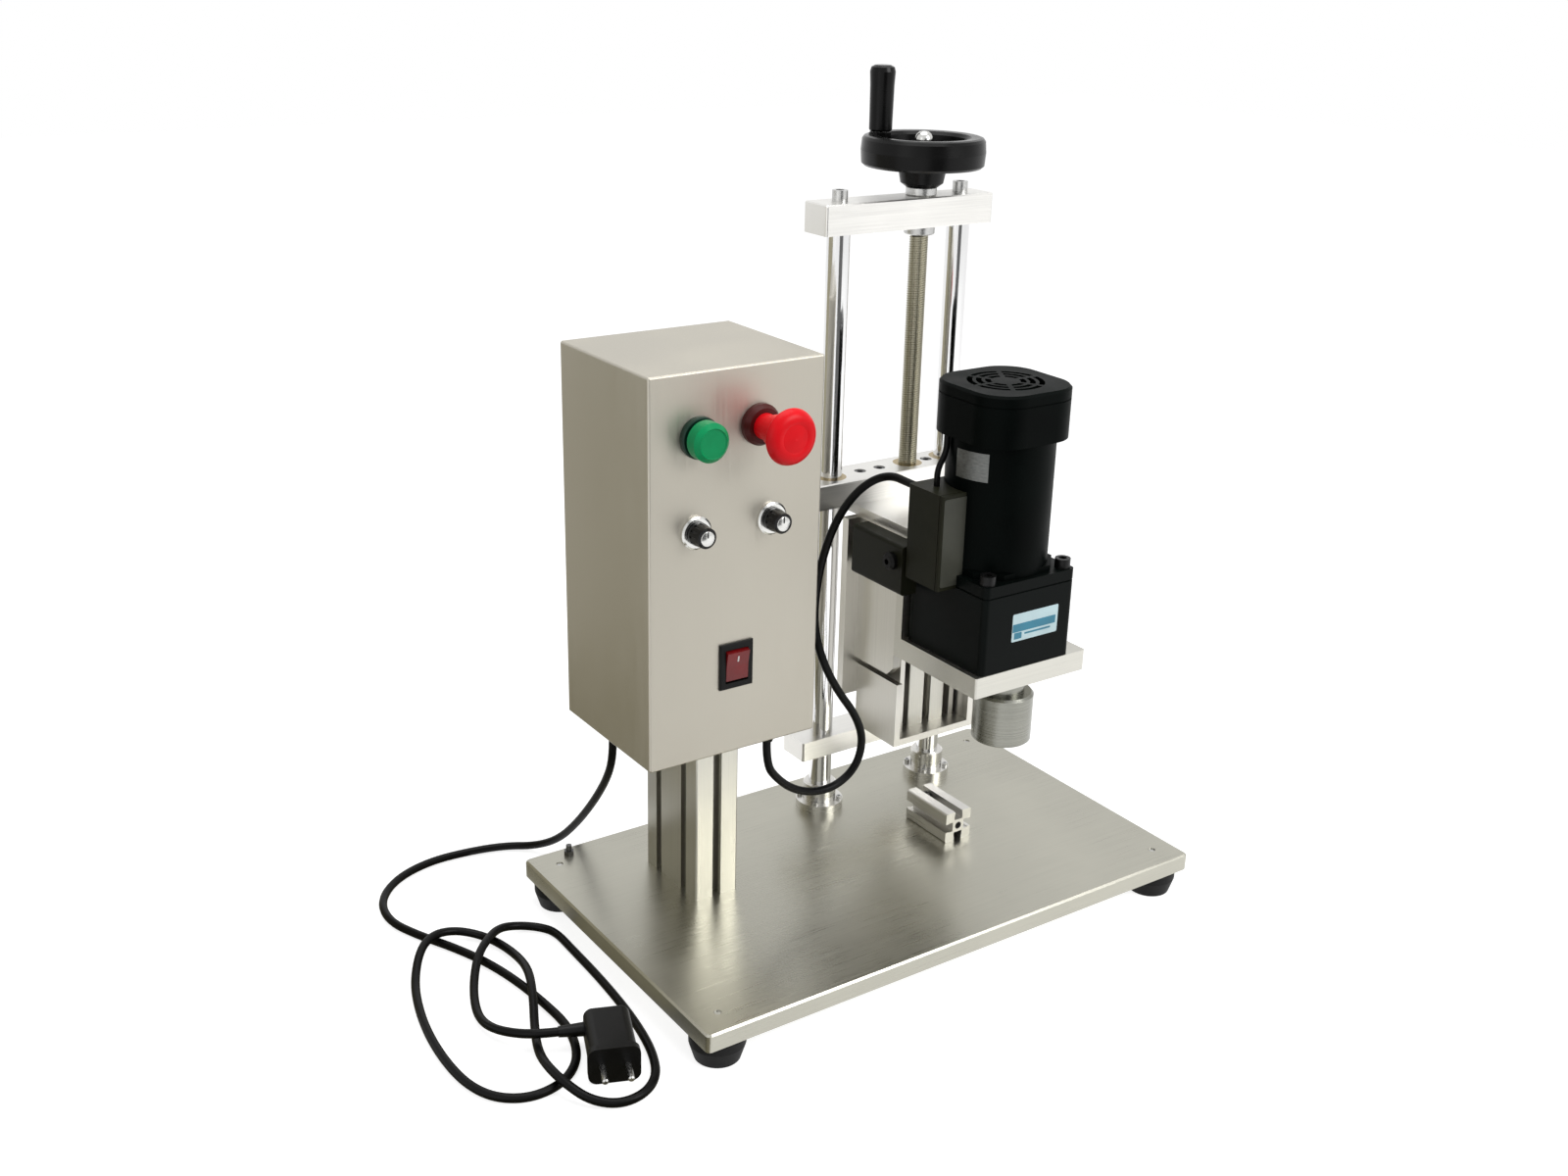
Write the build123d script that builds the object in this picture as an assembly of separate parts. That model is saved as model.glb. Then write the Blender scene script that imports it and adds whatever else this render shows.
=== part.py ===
from build123d import *
import math
import os

# Benchtop capping machine: a base plate on four rubber feet carries a control
# box on a slotted post, and a carriage with a gearmotor that a handwheel and a
# lead screw raise and lower on two guide rods. Millimetres, +Z up, the control
# panel faces -Y. The origin is on the table under the middle of the base.

# Base plate and feet
BASE_L = 500.0
BASE_W = 300.0
BASE_T = 15.0
BASE_CORNER_R = 4.0
BASE_EDGE = 1.5
FOOT_D = 44.0
FOOT_H = 22.0
FOOT_NECK_D = 36.0
FOOT_INSET = 22.5
FOOT_POCKET_D = 15.0
FOOT_POCKET_H = 9.0
FOOT_SCREW_D = 6.0
FOOT_SCREW_HEAD_D = 11.0
FOOT_SCREW_HEAD_H = 4.0
STUD_INSET_X = 37.0
STUD_INSET_Y = 12.0
STUD_X = -BASE_L / 2 + STUD_INSET_X
STUD_Y = BASE_W / 2 - STUD_INSET_Y
STUD_D = 5.0
STUD_H = 9.0
STUD_NUT_AF = 8.0
STUD_NUT_H = 4.0
DECK = FOOT_H + BASE_T

# Running, sliding and seating clearances
RUN = 0.05
BOLT_CLEAR = 0.25
PANEL_CLEAR = 0.3

# Slotted aluminium section, shared by the post, the slide column and the stop
SLOT_W = 8.0
SLOT_LIP = 3.5
SLOT_POCKET_W = 15.0
SLOT_POCKET_H = 4.5
SECTION_BORE = 6.8
SECTION_R = 1.5

# Post under the control box
POST_W = 40.0
POST_D = 80.0
POST_X = -140.3
POST_Y = 53.4
POST_H = 145.0
POST_BOLT_D = 6.6
POST_BOLT_REACH = 22.0

# Control box
BOX_W = 154.0
BOX_D = 133.0
BOX_H = 312.0
BOX_X = -141.0
BOX_FRONT_Y = -12.0
BOX_WALL = 1.5
BOX_R = 2.0
BOX_Z = DECK + POST_H
BOX_BACK_Y = BOX_FRONT_Y + BOX_D

# Push button
BUTTON_X = -176.0
BUTTON_UP = 408.0
BUTTON_Z = DECK + BUTTON_UP
BUTTON_FLANGE_D = 32.0
BUTTON_FLANGE_H = 5.0
BUTTON_BARREL_D = 22.0
BUTTON_BARREL_L = 24.0
BUTTON_STEM_D = 15.0
BUTTON_CAP_D = 30.0
BUTTON_CAP_H = 13.0
BUTTON_FACE_D = 23.0
BUTTON_STROKE = 3.0
BUTTON_GAP = 0.6

# Emergency stop
STOP_X = -123.0
STOP_UP = 411.0
STOP_Z = DECK + STOP_UP
STOP_BASE_D = 32.0
STOP_BASE_TOP_D = 27.0
STOP_BASE_H = 8.0
STOP_STEM_D = 20.0
STOP_STEM_STICKOUT = 13.0
STOP_HEAD_BACK_D = 24.0
STOP_SPIGOT_D = 10.0
STOP_SPIGOT_L = 8.0
STOP_HEAD_D = 43.0
STOP_HEAD_H = 28.0
STOP_STROKE = 4.0

# Speed and torque knobs
KNOB_X = (-178.0, -110.5)
KNOB_UP = 335.0
KNOB_Z = DECK + KNOB_UP
POT_RING_D = 26.0
POT_RING_H = 3.0
POT_BUSH_D = 9.0
POT_BODY_D = 22.0
POT_BODY_L = 14.0
POT_SHAFT_D = 6.0
POT_SHAFT_STICKOUT = 11.0
KNOB_D = 18.0
KNOB_TIP_D = 16.0
KNOB_H = 14.0
KNOB_GAP = 0.5
KNOB_FLUTES = 12
KNOB_FLUTE_R = 1.0
KNOB_FACE_D = 12.0

# Rocker switch
ROCKER_X = -141.0
ROCKER_UP = 220.0
ROCKER_Z = DECK + ROCKER_UP
ROCKER_W = 30.0
ROCKER_H = 38.0
ROCKER_BEZEL_T = 2.5
ROCKER_BODY_W = 25.0
ROCKER_BODY_H = 33.0
ROCKER_BODY_L = 18.0
ROCKER_WELL_D = 13.0
ROCKER_PADDLE_W = 20.0
ROCKER_PADDLE_H = 27.0
ROCKER_PIN_D = 3.0
ROCKER_TILT = 10.0
ROCKER_SIDE_GAP = 0.4

# Guide rods, their collars, the head bar and the cross bar
HEAD_X = 88.0
ROD_D = 20.0
ROD_SPAN = 126.0
ROD_Y = 98.0
ROD_LEN = 525.0
ROD_THREAD_D = 8.0
COLLAR_FLANGE_D = 43.0
COLLAR_FLANGE_H = 8.0
COLLAR_HUB_D = 30.0
COLLAR_HUB_H = 18.0
COLLAR_PCD = 36.5
COLLAR_SCREW_D = 3.0
COLLAR_SCREWS = 4
HEAD_L = 174.0
HEAD_D = 32.0
HEAD_T = 25.0
HEAD_R = 2.0
HEAD_Z = DECK + ROD_LEN
HEAD_BOLT_HEAD_D = 13.0
HEAD_BOLT_HEAD_H = 9.0
HEAD_BOLT_REACH = 20.0
CROSS_L = 188.0
CROSS_D = 32.0
CROSS_T = 18.0
CROSS_UP = 58.0
CROSS_Z = DECK + CROSS_UP

# Lead screw and handwheel
SCREW_X = 109.0
SCREW_D = 16.0
SCREW_CORE_D = 12.0
SCREW_LEAD = 4.0
SCREW_BUSH_OD = 22.0
SCREW_COLLAR_D = 26.0
SCREW_COLLAR_H = 7.0
COLLAR_GAP = 0.1
WHEEL_HUB_D = 40.0
WHEEL_HUB_H = 17.0
WHEEL_D = 104.0
WHEEL_RIM_W = 15.0
WHEEL_RIM_H = 24.0
WHEEL_WEB_T = 8.0
WHEEL_BORE = 12.0
WHEEL_NUT_AF = 17.0
WHEEL_NUT_H = 7.0
CRANK_OFFSET = 41.5
CRANK_ANGLE = 113.0
CRANK_PIN_D = 8.0
CRANK_BOSS_D = 18.0
CRANK_L = 53.0
CRANK_ROOT_D = 19.5
CRANK_TIP_D = 21.5
CRANK_GAP = 0.5

# Carriage
TRAVEL_UP = 180.0
TRAVEL_DOWN = 55.0
HEADBLOCK_L = 178.0
HEADBLOCK_D = 40.0
HEADBLOCK_T = 22.0
HEADBLOCK_UP = 295.0
HEADBLOCK_Z = DECK + HEADBLOCK_UP
ROD_BUSH_OD = 28.0
NUT_OD = 26.0
ARM_W = 100.0
ARM_T = 8.0
ARM_FRONT_Y = 4.0
ARM_Z = HEADBLOCK_Z - ARM_T
BACK_W = 128.0
BACK_T = 8.0
BACK_FRONT_Y = 68.0
BACK_UP = 123.0
BACK_Z = DECK + BACK_UP
CHEEK_T = 8.0
CHEEK_X = 36.0
CHEEK_FRONT_Y = 13.0
CHEEK_UP = 158.0
CHEEK_Z = DECK + CHEEK_UP
COLUMN_SIZE = 40.0
COLUMN_X = 88.0
GUIDE_W = 88.0
GUIDE_X = 84.0
GUIDE_WALL = 6.0
GUIDE_FRONT_Y = 11.0
GUIDE_TOP_UP = 150.0
GUIDE_TOP_Z = DECK + GUIDE_TOP_UP
GUIDE_UP = 91.0
GUIDE_Z = DECK + GUIDE_UP
STRIP_W = 5.0
STRIP_D = 40.0
STRIP_OUTSET = 6.0
CARRIAGE_SCREW_D = 6.0
CARRIAGE_SCREW_HEAD_D = 10.0
CARRIAGE_SCREW_HEAD_H = 6.0
CARRIAGE_SCREW_X = (57.0, 78.0, 130.0)

# Motor bracket, gearhead and motor
GEAR_X = 89.0
GEAR_Y = -45.0
GEAR_SIZE = 96.0
GEAR_R = 5.0
GEAR_H = 76.0
GEAR_FLANGE_H = 9.0
GEAR_GROOVE = 1.0
GEAR_BOLT_SPAN = 80.0
GEAR_BOLT_D = 8.0
GEAR_BOLT_HEAD_D = 13.0
GEAR_BOLT_HEAD_H = 8.0
GEAR_BOLT_REACH = 12.0
PLATE_T = 18.0
PLATE_L = 119.0
PLATE_FRONT_Y = -94.0
PLATE_HOLE_D = 36.0
UPRIGHT_T = 9.0
PLATE_UP = 179.0
PLATE_Z = DECK + PLATE_UP
GEAR_Z = PLATE_Z + PLATE_T
MOTOR_D = 88.0
MOTOR_FLANGE_H = 5.0
MOTOR_FLANGE_SIZE = 84.0
MOTOR_H = 110.0
COWL_SIZE = 92.0
COWL_R = 30.0
COWL_H = 42.0
COWL_EDGE = 4.0
COWL_RING_D = 62.0
COWL_HUB_D = 18.0
COWL_RINGS = 3
COWL_SLOT_W = 4.5
COWL_SPOKES = 6
COWL_SPOKE_W = 4.0
COWL_SLOT_DEPTH = 8.0
MOTOR_Z = GEAR_Z + GEAR_H
COWL_Z = MOTOR_Z + MOTOR_H

# Terminal box, capacitor and their leads
TERM_L = 43.0
TERM_H = 80.0
TERM_X = 22.0
TERM_FRONT_Y = -56.0
TERM_UP = 262.0
TERM_Z = DECK + TERM_UP
TERM_LID_T = 3.0
TERM_R = 2.0
TERM_GAP = 0.1
CAP_T = 16.0
CAP_L = 68.0
CAP_H = 43.0
CAP_BACK_Y = 56.0
CAP_R = 3.0
CAP_GLAND_D = 15.0
CAP_GLAND_H = 6.0
CAP_GLAND_Y = 1.0
LEAD_D = 5.0
LEAD_X = 44.8
LEAD_Y = -30.0
LEAD_LEAN = 8.0

# Chuck
SHAFT_D = 15.0
SHAFT_OFFSET = 25.0
SHAFT_IN_GEAR = 24.0
SHAFT_IN_CHUCK = 16.0
CHUCK_NECK_D = 34.0
CHUCK_NECK_H = 10.0
CHUCK_NECK_GAP = 2.0
CHUCK_D = 50.0
CHUCK_H = 43.0
CHUCK_CUP_D = 40.0
CHUCK_CUP_H = 25.0
LINER_MOUTH_D = 35.0
LINER_ROOT_D = 28.0

# Bottle stop on the base
STOPPER_X = 92.0
STOPPER_W = 28.0
STOPPER_H = 28.0
STOPPER_FRONT_Y = -21.0
STOPPER_L = 56.0
STOPPER_SCREW_Y = 26.0
STOPPER_SCREW_D = 6.0
STOPPER_HEAD_D = 7.6
STOPPER_HEAD_H = 5.0
STOPPER_POCKET_W = 9.0

# Cables
CABLE_D = 7.0
CABLE_GLAND_D = 14.0
CABLE_GLAND_L = 12.0
CABLE_GLAND_X = -95.0
CABLE_GLAND_Y = 10.0
MAINS_D = 7.0
MAINS_X = -190.0
MAINS_Y = 98.0
MAINS_GLAND_D = 15.0
MAINS_GLAND_TIP_D = 10.0
MAINS_GLAND_L = 20.0
FLOOR_Z = 0.0
CABLE_DROP = 22.0
MAINS_DROP = 18.0
CABLE_END_Z = POST_H - CABLE_GLAND_L
MAINS_TOP_Z = DECK + POST_H - MAINS_GLAND_L

# Motor cable, from the terminal box down and round into the control box.
# Heights are above the deck.
CABLE_START_Y = TERM_FRONT_Y + TERM_L
CABLE_ROUTE = [
    (38.0, CABLE_START_Y, 334.0),
    (38.0, 8.0, 334.0),
    (35.0, 26.0, 336.0),
    (25.0, 39.0, 330.0),
    (10.0, 46.0, 316.0),
    (-6.0, 47.0, 295.0),
    (-21.0, 42.0, 270.0),
    (-33.0, 34.0, 243.0),
    (-40.0, 25.0, 216.0),
    (-36.0, 17.0, 188.0),
    (-21.0, 14.0, 158.0),
    (-3.0, 12.0, 133.0),
    (6.0, 11.0, 108.0),
    (-1.0, 10.0, 84.0),
    (-21.0, 10.0, 71.0),
    (-45.0, 10.0, 71.0),
    (-67.0, 10.0, 80.0),
    (-84.0, 10.0, 95.0),
    (CABLE_GLAND_X, CABLE_GLAND_Y, CABLE_END_Z - CABLE_DROP),
    (CABLE_GLAND_X, CABLE_GLAND_Y, CABLE_END_Z),
]

# Mains cord, from its gland behind the base and round to the plug. Heights
# are above the table: LAY where it lies flat, HOP where it passes over itself.
LAY = MAINS_D / 2 + 0.1
HOP = LAY + MAINS_D + 1.4
ENTRY = 15.0
MAINS_ROUTE = [
    (MAINS_X, MAINS_Y, MAINS_TOP_Z),
    (MAINS_X, MAINS_Y, MAINS_TOP_Z - MAINS_DROP),
    (-188.0, 111.0, 118.0),
    (-188.0, 134.0, 86.0),
    (-190.0, 164.0, 50.0),
    (-195.0, 193.0, 20.0),
    (-207.0, 217.0, LAY + 1.5),
    (-229.0, 234.0, LAY),
    (-262.0, 242.0, LAY),
    (-300.0, 244.0, LAY),
    (-336.0, 231.0, LAY),
    (-361.0, 204.0, LAY),
    (-367.0, 170.0, LAY),
    (-355.0, 138.0, LAY),
    (-338.0, 106.0, LAY),
    (-324.0, 72.0, LAY),
    (-315.0, 35.0, LAY),
    (-310.0, -4.0, LAY),
    (-308.0, -40.0, LAY),
    (-316.0, -72.0, LAY),
    (-330.0, -92.0, LAY),
    (-350.0, -103.0, LAY),
    (-373.0, -103.0, LAY),
    (-392.0, -90.0, LAY),
    (-402.0, -68.0, LAY),
    (-405.0, -38.0, LAY),
    (-403.0, 0.0, LAY),
    (-396.0, 38.0, LAY),
    (-384.0, 76.0, LAY),
    (-367.0, 104.0, HOP),
    (-349.0, 119.0, HOP + 0.4),
    (-329.0, 121.0, LAY + 5.0),
    (-312.0, 110.0, LAY + 1.0),
    (-303.0, 91.0, LAY),
    (-300.0, 64.0, LAY + 2.0),
    (-305.0, 32.0, HOP),
    (-317.0, 0.0, HOP),
    (-331.0, -30.0, LAY + 0.5),
    (-343.0, -60.0, LAY + 2.0),
    (-349.0, -88.0, HOP),
    (-347.0, -113.0, HOP),
    (-338.0, -132.0, LAY + 3.0),
    (-321.0, -144.0, LAY),
    (-300.0, -144.0, LAY),
    (-282.0, -131.0, LAY),
    (-271.0, -107.0, LAY),
    (-264.0, -76.0, LAY),
    (-259.5, -38.0, LAY),
    (-257.0, 6.0, LAY),
    (-256.5, 50.0, LAY),
    (-256.0, 81.6, LAY),
    (-265.0, 96.2, LAY),
    (-280.6, 103.7, LAY + 2.5),
    (-297.7, 101.9, LAY + 7.0),
    (-314.0, 89.0, HOP + 0.6),
    (-331.0, 71.0, HOP + 0.6),
    (-345.0, 49.0, LAY + 3.0),
    (-356.0, 24.0, LAY),
    (-362.0, 0.0, LAY + 1.0),
    (-360.0, -22.0, LAY + 5.0),
    (-350.0, -41.0, ENTRY - 2.5),
    (-338.0, -53.0, ENTRY),
    (-325.0, -58.2, ENTRY),
]

# Plug, lying on the table with its pins towards -Y
PLUG_SLEEVE_L = 20.0
PLUG_SLEEVE_D = 11.0
PLUG_SLEEVE_TIP_D = 8.4
PLUG_L = 34.0
PLUG_BACK_W = 6.0
PLUG_FRONT_W = 42.0
PLUG_H = 30.0
PLUG_R = 7.0
PLUG_FACE_T = 6.0
PLUG_FACE_LIP = 2.0
PLUG_PIN_D = 4.8
PLUG_PIN_L = 19.0
PLUG_PIN_SPAN = 19.0


def put(solid, x=0.0, y=0.0, z=0.0):
    return Pos(x, y, z) * solid


def block(x0, x1, y0, y1, z0, z1):
    """A box between two corners."""
    size = Box(x1 - x0, y1 - y0, z1 - z0)
    return put(size, (x0 + x1) / 2, (y0 + y1) / 2, (z0 + z1) / 2)


def rod(diameter, z0, z1, x=0.0, y=0.0):
    """A round bar standing from z0 to z1."""
    return put(Cylinder(diameter / 2, z1 - z0), x, y, (z0 + z1) / 2)


def facing(solid, x, z, y=BOX_FRONT_Y):
    """Turn a piece built upwards so that it points out of the front panel."""
    return Pos(x, y, z) * Rot(90, 0, 0) * solid


def turned(points):
    """Revolve a profile of (radius, height) points about the Z axis."""
    outline = Polyline(*[(r, 0, z) for r, z in points], close=True)
    return revolve(make_face(outline), Axis.Z)


def hex_bar(across_flats, z0, z1):
    side = RegularPolygon(across_flats / math.sqrt(3), 6)
    return extrude(Plane.XY.offset(z0) * side, z1 - z0)


def cap_screw(shank_d, reach, head_d, head_h):
    """A socket head screw, head seat at z = 0, shank down to -reach."""
    head = rod(head_d, 0, head_h)
    socket = hex_bar(head_d * 0.5, head_h * 0.45, head_h + 1)
    return head + rod(shank_d, -reach, 0) - socket


def group(solids):
    return Compound(children=list(solids))


def slotted_section(width, depth, slots_x, slots_y, length, pocket_w=SLOT_POCKET_W):
    """Extruded T-slot section. slots_x are the slots on the faces that look
    along Y, at those x, and slots_y the ones on the faces that look along X."""
    face = Rectangle(width, depth)
    face = fillet(face.vertices(), SECTION_R)
    slot = Rectangle(SLOT_W, 2 * SLOT_LIP + 1)
    pocket = Pos(0, -SLOT_LIP - SLOT_POCKET_H / 2) * Rectangle(pocket_w, SLOT_POCKET_H)
    notch = slot + pocket
    for x in slots_x:
        face -= Pos(x, depth / 2) * notch
        face -= Pos(x, -depth / 2) * Rot(0, 0, 180) * notch
    for y in slots_y:
        face -= Pos(width / 2, y) * Rot(0, 0, -90) * notch
        face -= Pos(-width / 2, y) * Rot(0, 0, 90) * notch
    for x in slots_x:
        for y in slots_y:
            face -= Pos(x, y) * Circle(SECTION_BORE / 2)
    return extrude(face, length)


# Base plate, post, guide rods and fixed bars
def foot_places():
    x = BASE_L / 2 - FOOT_INSET
    y = BASE_W / 2 - FOOT_INSET
    return [(-x, -y), (x, -y), (x, y), (-x, y)]


def rod_places():
    half = ROD_SPAN / 2
    return [(HEAD_X - half, ROD_Y), (HEAD_X + half, ROD_Y)]


def collar_screw_places():
    spots = []
    for x, y in rod_places():
        for i in range(COLLAR_SCREWS):
            angle = math.radians(45 + 360 * i / COLLAR_SCREWS)
            spots.append((x + COLLAR_PCD / 2 * math.cos(angle),
                          y + COLLAR_PCD / 2 * math.sin(angle)))
    return spots


def post_bolt_places():
    quarter = POST_D / 4
    return [(POST_X, POST_Y - quarter), (POST_X, POST_Y + quarter)]


def base_plate():
    plate = block(-BASE_L / 2, BASE_L / 2, -BASE_W / 2, BASE_W / 2, FOOT_H, DECK)
    plate = fillet(plate.edges().filter_by(Axis.Z), BASE_CORNER_R)
    plate = chamfer(plate.faces().sort_by(Axis.Z)[-1].edges(), BASE_EDGE)
    for x, y in foot_places():
        plate -= rod(FOOT_SCREW_D + 2 * RUN, FOOT_H - 1, DECK + 1, x, y)
    for x, y in post_bolt_places():
        plate -= rod(POST_BOLT_D + 2 * BOLT_CLEAR, FOOT_H - 1, DECK + 1, x, y)
        plate -= rod(POST_BOLT_D * 2 + 1, FOOT_H - 1, FOOT_H + POST_BOLT_D + 1, x, y)
    for x, y in collar_screw_places():
        plate -= rod(COLLAR_SCREW_D + 2 * RUN, DECK - BASE_T * 0.6, DECK + 1, x, y)
    plate -= rod(STOPPER_SCREW_D + 2 * RUN, DECK - BASE_T * 0.7, DECK + 1,
                 STOPPER_X, STOPPER_SCREW_Y)
    plate -= rod(STUD_D + 2 * RUN, DECK - BASE_T * 0.6, DECK + 1, STUD_X, STUD_Y)
    return plate


def rubber_feet():
    r = FOOT_D / 2
    profile = [(FOOT_SCREW_D / 2 + RUN, FOOT_H), (r - 2, FOOT_H), (r, FOOT_H - 2),
               (r, FOOT_H * 0.6), (FOOT_NECK_D / 2, 0), (FOOT_POCKET_D / 2, 0),
               (FOOT_POCKET_D / 2, FOOT_POCKET_H), (FOOT_SCREW_D / 2 + RUN, FOOT_POCKET_H)]
    foot = turned(profile)
    return group(put(foot, x, y) for x, y in foot_places())


def foot_screws():
    reach = DECK - 1 - FOOT_POCKET_H
    screw = rod(FOOT_SCREW_HEAD_D, -FOOT_SCREW_HEAD_H, 0) + rod(FOOT_SCREW_D, 0, reach)
    return group(put(screw, x, y, FOOT_POCKET_H) for x, y in foot_places())


def post_extrusion():
    quarter = POST_D / 4
    bar = slotted_section(POST_W, POST_D, [0.0], [-quarter, quarter], POST_H)
    return put(bar, POST_X, POST_Y, DECK)


def post_bolts():
    """Two bolts from under the plate and two from inside the box."""
    seat = FOOT_H + POST_BOLT_D + 1
    bolt = cap_screw(SECTION_BORE - 2 * RUN, DECK - seat + POST_BOLT_REACH,
                     POST_BOLT_D * 1.7, POST_BOLT_D - 1)
    low = Rot(180, 0, 0) * bolt
    high = cap_screw(SECTION_BORE - 2 * RUN, BOX_WALL + POST_BOLT_REACH,
                     POST_BOLT_D * 1.7, POST_BOLT_D - 1)
    solids = [put(low, x, y, seat) for x, y in post_bolt_places()]
    solids += [put(high, x, y, BOX_Z + BOX_WALL) for x, y in post_bolt_places()]
    return group(solids)


def guide_rods():
    bar = rod(ROD_D, DECK, HEAD_Z)
    bar -= rod(ROD_THREAD_D + 2 * RUN, HEAD_Z - HEAD_BOLT_REACH - 2, HEAD_Z + 1)
    bar = chamfer(bar.edges().filter_by(GeomType.CIRCLE).sort_by(Axis.Z)[0], 0.8)
    return group(put(bar, x, y) for x, y in rod_places())


def rod_collars():
    bore = ROD_D / 2 + RUN
    top = COLLAR_FLANGE_H + COLLAR_HUB_H
    profile = [(bore, 0), (COLLAR_FLANGE_D / 2, 0), (COLLAR_FLANGE_D / 2, COLLAR_FLANGE_H),
               (COLLAR_HUB_D / 2, COLLAR_FLANGE_H), (COLLAR_HUB_D / 2, top - 1.5),
               (COLLAR_HUB_D / 2 - 1.5, top), (bore, top)]
    collar = turned(profile)
    solids = []
    for x, y in rod_places():
        piece = put(collar, x, y, DECK)
        for sx, sy in collar_screw_places():
            if math.hypot(sx - x, sy - y) < COLLAR_PCD:
                piece -= rod(COLLAR_SCREW_D + 2 * RUN, DECK - 1, DECK + COLLAR_FLANGE_H + 1, sx, sy)
        solids.append(piece)
    return group(solids)


def collar_screws():
    screw = cap_screw(COLLAR_SCREW_D, COLLAR_FLANGE_H + BASE_T * 0.5,
                      COLLAR_SCREW_D * 1.7, COLLAR_SCREW_D)
    return group(put(screw, x, y, DECK + COLLAR_FLANGE_H) for x, y in collar_screw_places())


def head_bar():
    bar = block(HEAD_X - HEAD_L / 2, HEAD_X + HEAD_L / 2, ROD_Y - HEAD_D / 2,
                ROD_Y + HEAD_D / 2, HEAD_Z, HEAD_Z + HEAD_T)
    bar = fillet(bar.edges().filter_by(Axis.Z), HEAD_R)
    bar = chamfer(bar.faces().sort_by(Axis.Z)[-1].edges(), 1)
    for x, y in rod_places():
        bar -= rod(ROD_THREAD_D + 2 * BOLT_CLEAR, HEAD_Z - 1, HEAD_Z + HEAD_T + 1, x, y)
    bar -= rod(SCREW_BUSH_OD, HEAD_Z - 1, HEAD_Z + HEAD_T + 1, SCREW_X, ROD_Y)
    return bar


def head_bolts():
    bolt = cap_screw(ROD_THREAD_D, HEAD_T + HEAD_BOLT_REACH, HEAD_BOLT_HEAD_D, HEAD_BOLT_HEAD_H)
    return group(put(bolt, x, y, HEAD_Z + HEAD_T) for x, y in rod_places())


def cross_bar():
    bar = block(HEAD_X - CROSS_L / 2, HEAD_X + CROSS_L / 2, ROD_Y - CROSS_D / 2,
                ROD_Y + CROSS_D / 2, CROSS_Z, CROSS_Z + CROSS_T)
    bar = fillet(bar.edges().filter_by(Axis.Z), HEAD_R)
    for x, y in rod_places():
        bar -= rod(ROD_D + 2 * RUN, CROSS_Z - 1, CROSS_Z + CROSS_T + 1, x, y)
    bar -= rod(SCREW_BUSH_OD, CROSS_Z - 1, CROSS_Z + CROSS_T + 1, SCREW_X, ROD_Y)
    return bar


def screw_bushes():
    """Bronze bushes for the lead screw, one in each fixed bar."""
    top = rod(SCREW_BUSH_OD, HEAD_Z, HEAD_Z + HEAD_T)
    top -= rod(SCREW_D + 2 * RUN, HEAD_Z - 1, HEAD_Z + HEAD_T + 1)
    low = rod(SCREW_BUSH_OD, CROSS_Z, CROSS_Z + CROSS_T)
    low -= rod(SCREW_CORE_D + 2 * RUN, CROSS_Z - 1, CROSS_Z + CROSS_T + 1)
    return group(put(bush, SCREW_X, ROD_Y) for bush in (top, low))


def bottle_stop():
    """Short slotted block, screwed down near its back end."""
    bar = slotted_section(STOPPER_W, STOPPER_H, [0.0], [0.0], STOPPER_L, STOPPER_POCKET_W)
    bar = Rot(-90, 0, 0) * bar
    bar = put(bar, STOPPER_X, STOPPER_FRONT_Y, DECK + STOPPER_H / 2)
    return bar - rod(STOPPER_SCREW_D + 2 * RUN, DECK - 1, DECK + STOPPER_H, STOPPER_X, STOPPER_SCREW_Y)


def deck_fasteners():
    """The stop's screw and a nutted stud near the back corner."""
    seat = STOPPER_H - SLOT_LIP - SLOT_POCKET_H
    screw = cap_screw(STOPPER_SCREW_D, seat + BASE_T * 0.6, STOPPER_HEAD_D, STOPPER_HEAD_H)
    stud = rod(STUD_D, -BASE_T * 0.5, STUD_H) + hex_bar(STUD_NUT_AF, 0, STUD_NUT_H)
    return group([put(screw, STOPPER_X, STOPPER_SCREW_Y, DECK + seat),
                  put(stud, STUD_X, STUD_Y, DECK)])


# Control box and its controls
def control_box():
    """Folded sheet box, open at the back, with the holes for its controls."""
    x0 = BOX_X - BOX_W / 2
    x1 = BOX_X + BOX_W / 2
    rim_y = BOX_BACK_Y - BOX_WALL
    shell = block(x0, x1, BOX_FRONT_Y, rim_y, BOX_Z, BOX_Z + BOX_H)
    shell = fillet(shell.edges().filter_by(Axis.Y), BOX_R)
    shell = fillet(shell.faces().sort_by(Axis.Y)[0].edges(), BOX_R * 0.9)
    w = BOX_WALL
    hollow = block(x0 + w, x1 - w, BOX_FRONT_Y + w, rim_y + 1, BOX_Z + w, BOX_Z + BOX_H - w)
    shell -= hollow
    holes = [(BUTTON_X, BUTTON_Z, BUTTON_BARREL_D), (STOP_X, STOP_Z, BUTTON_BARREL_D)]
    holes += [(x, KNOB_Z, POT_BUSH_D) for x in KNOB_X]
    for x, z, d in holes:
        shell -= facing(rod(d + 2 * PANEL_CLEAR, -w - 1, 1), x, z)
    half_w = ROCKER_BODY_W / 2 + PANEL_CLEAR
    half_h = ROCKER_BODY_H / 2 + PANEL_CLEAR
    shell -= block(ROCKER_X - half_w, ROCKER_X + half_w, BOX_FRONT_Y - 1, BOX_FRONT_Y + w + 1,
                   ROCKER_Z - half_h, ROCKER_Z + half_h)
    for x, y in post_bolt_places():
        shell -= rod(SECTION_BORE + 2 * BOLT_CLEAR, BOX_Z - 1, BOX_Z + w + 1, x, y)
    shell -= rod(CABLE_GLAND_D * 0.7, BOX_Z - 1, BOX_Z + w + 1, CABLE_GLAND_X, CABLE_GLAND_Y)
    shell -= rod(MAINS_GLAND_D * 0.8, BOX_Z - 1, BOX_Z + w + 1, MAINS_X, MAINS_Y)
    return shell


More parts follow.
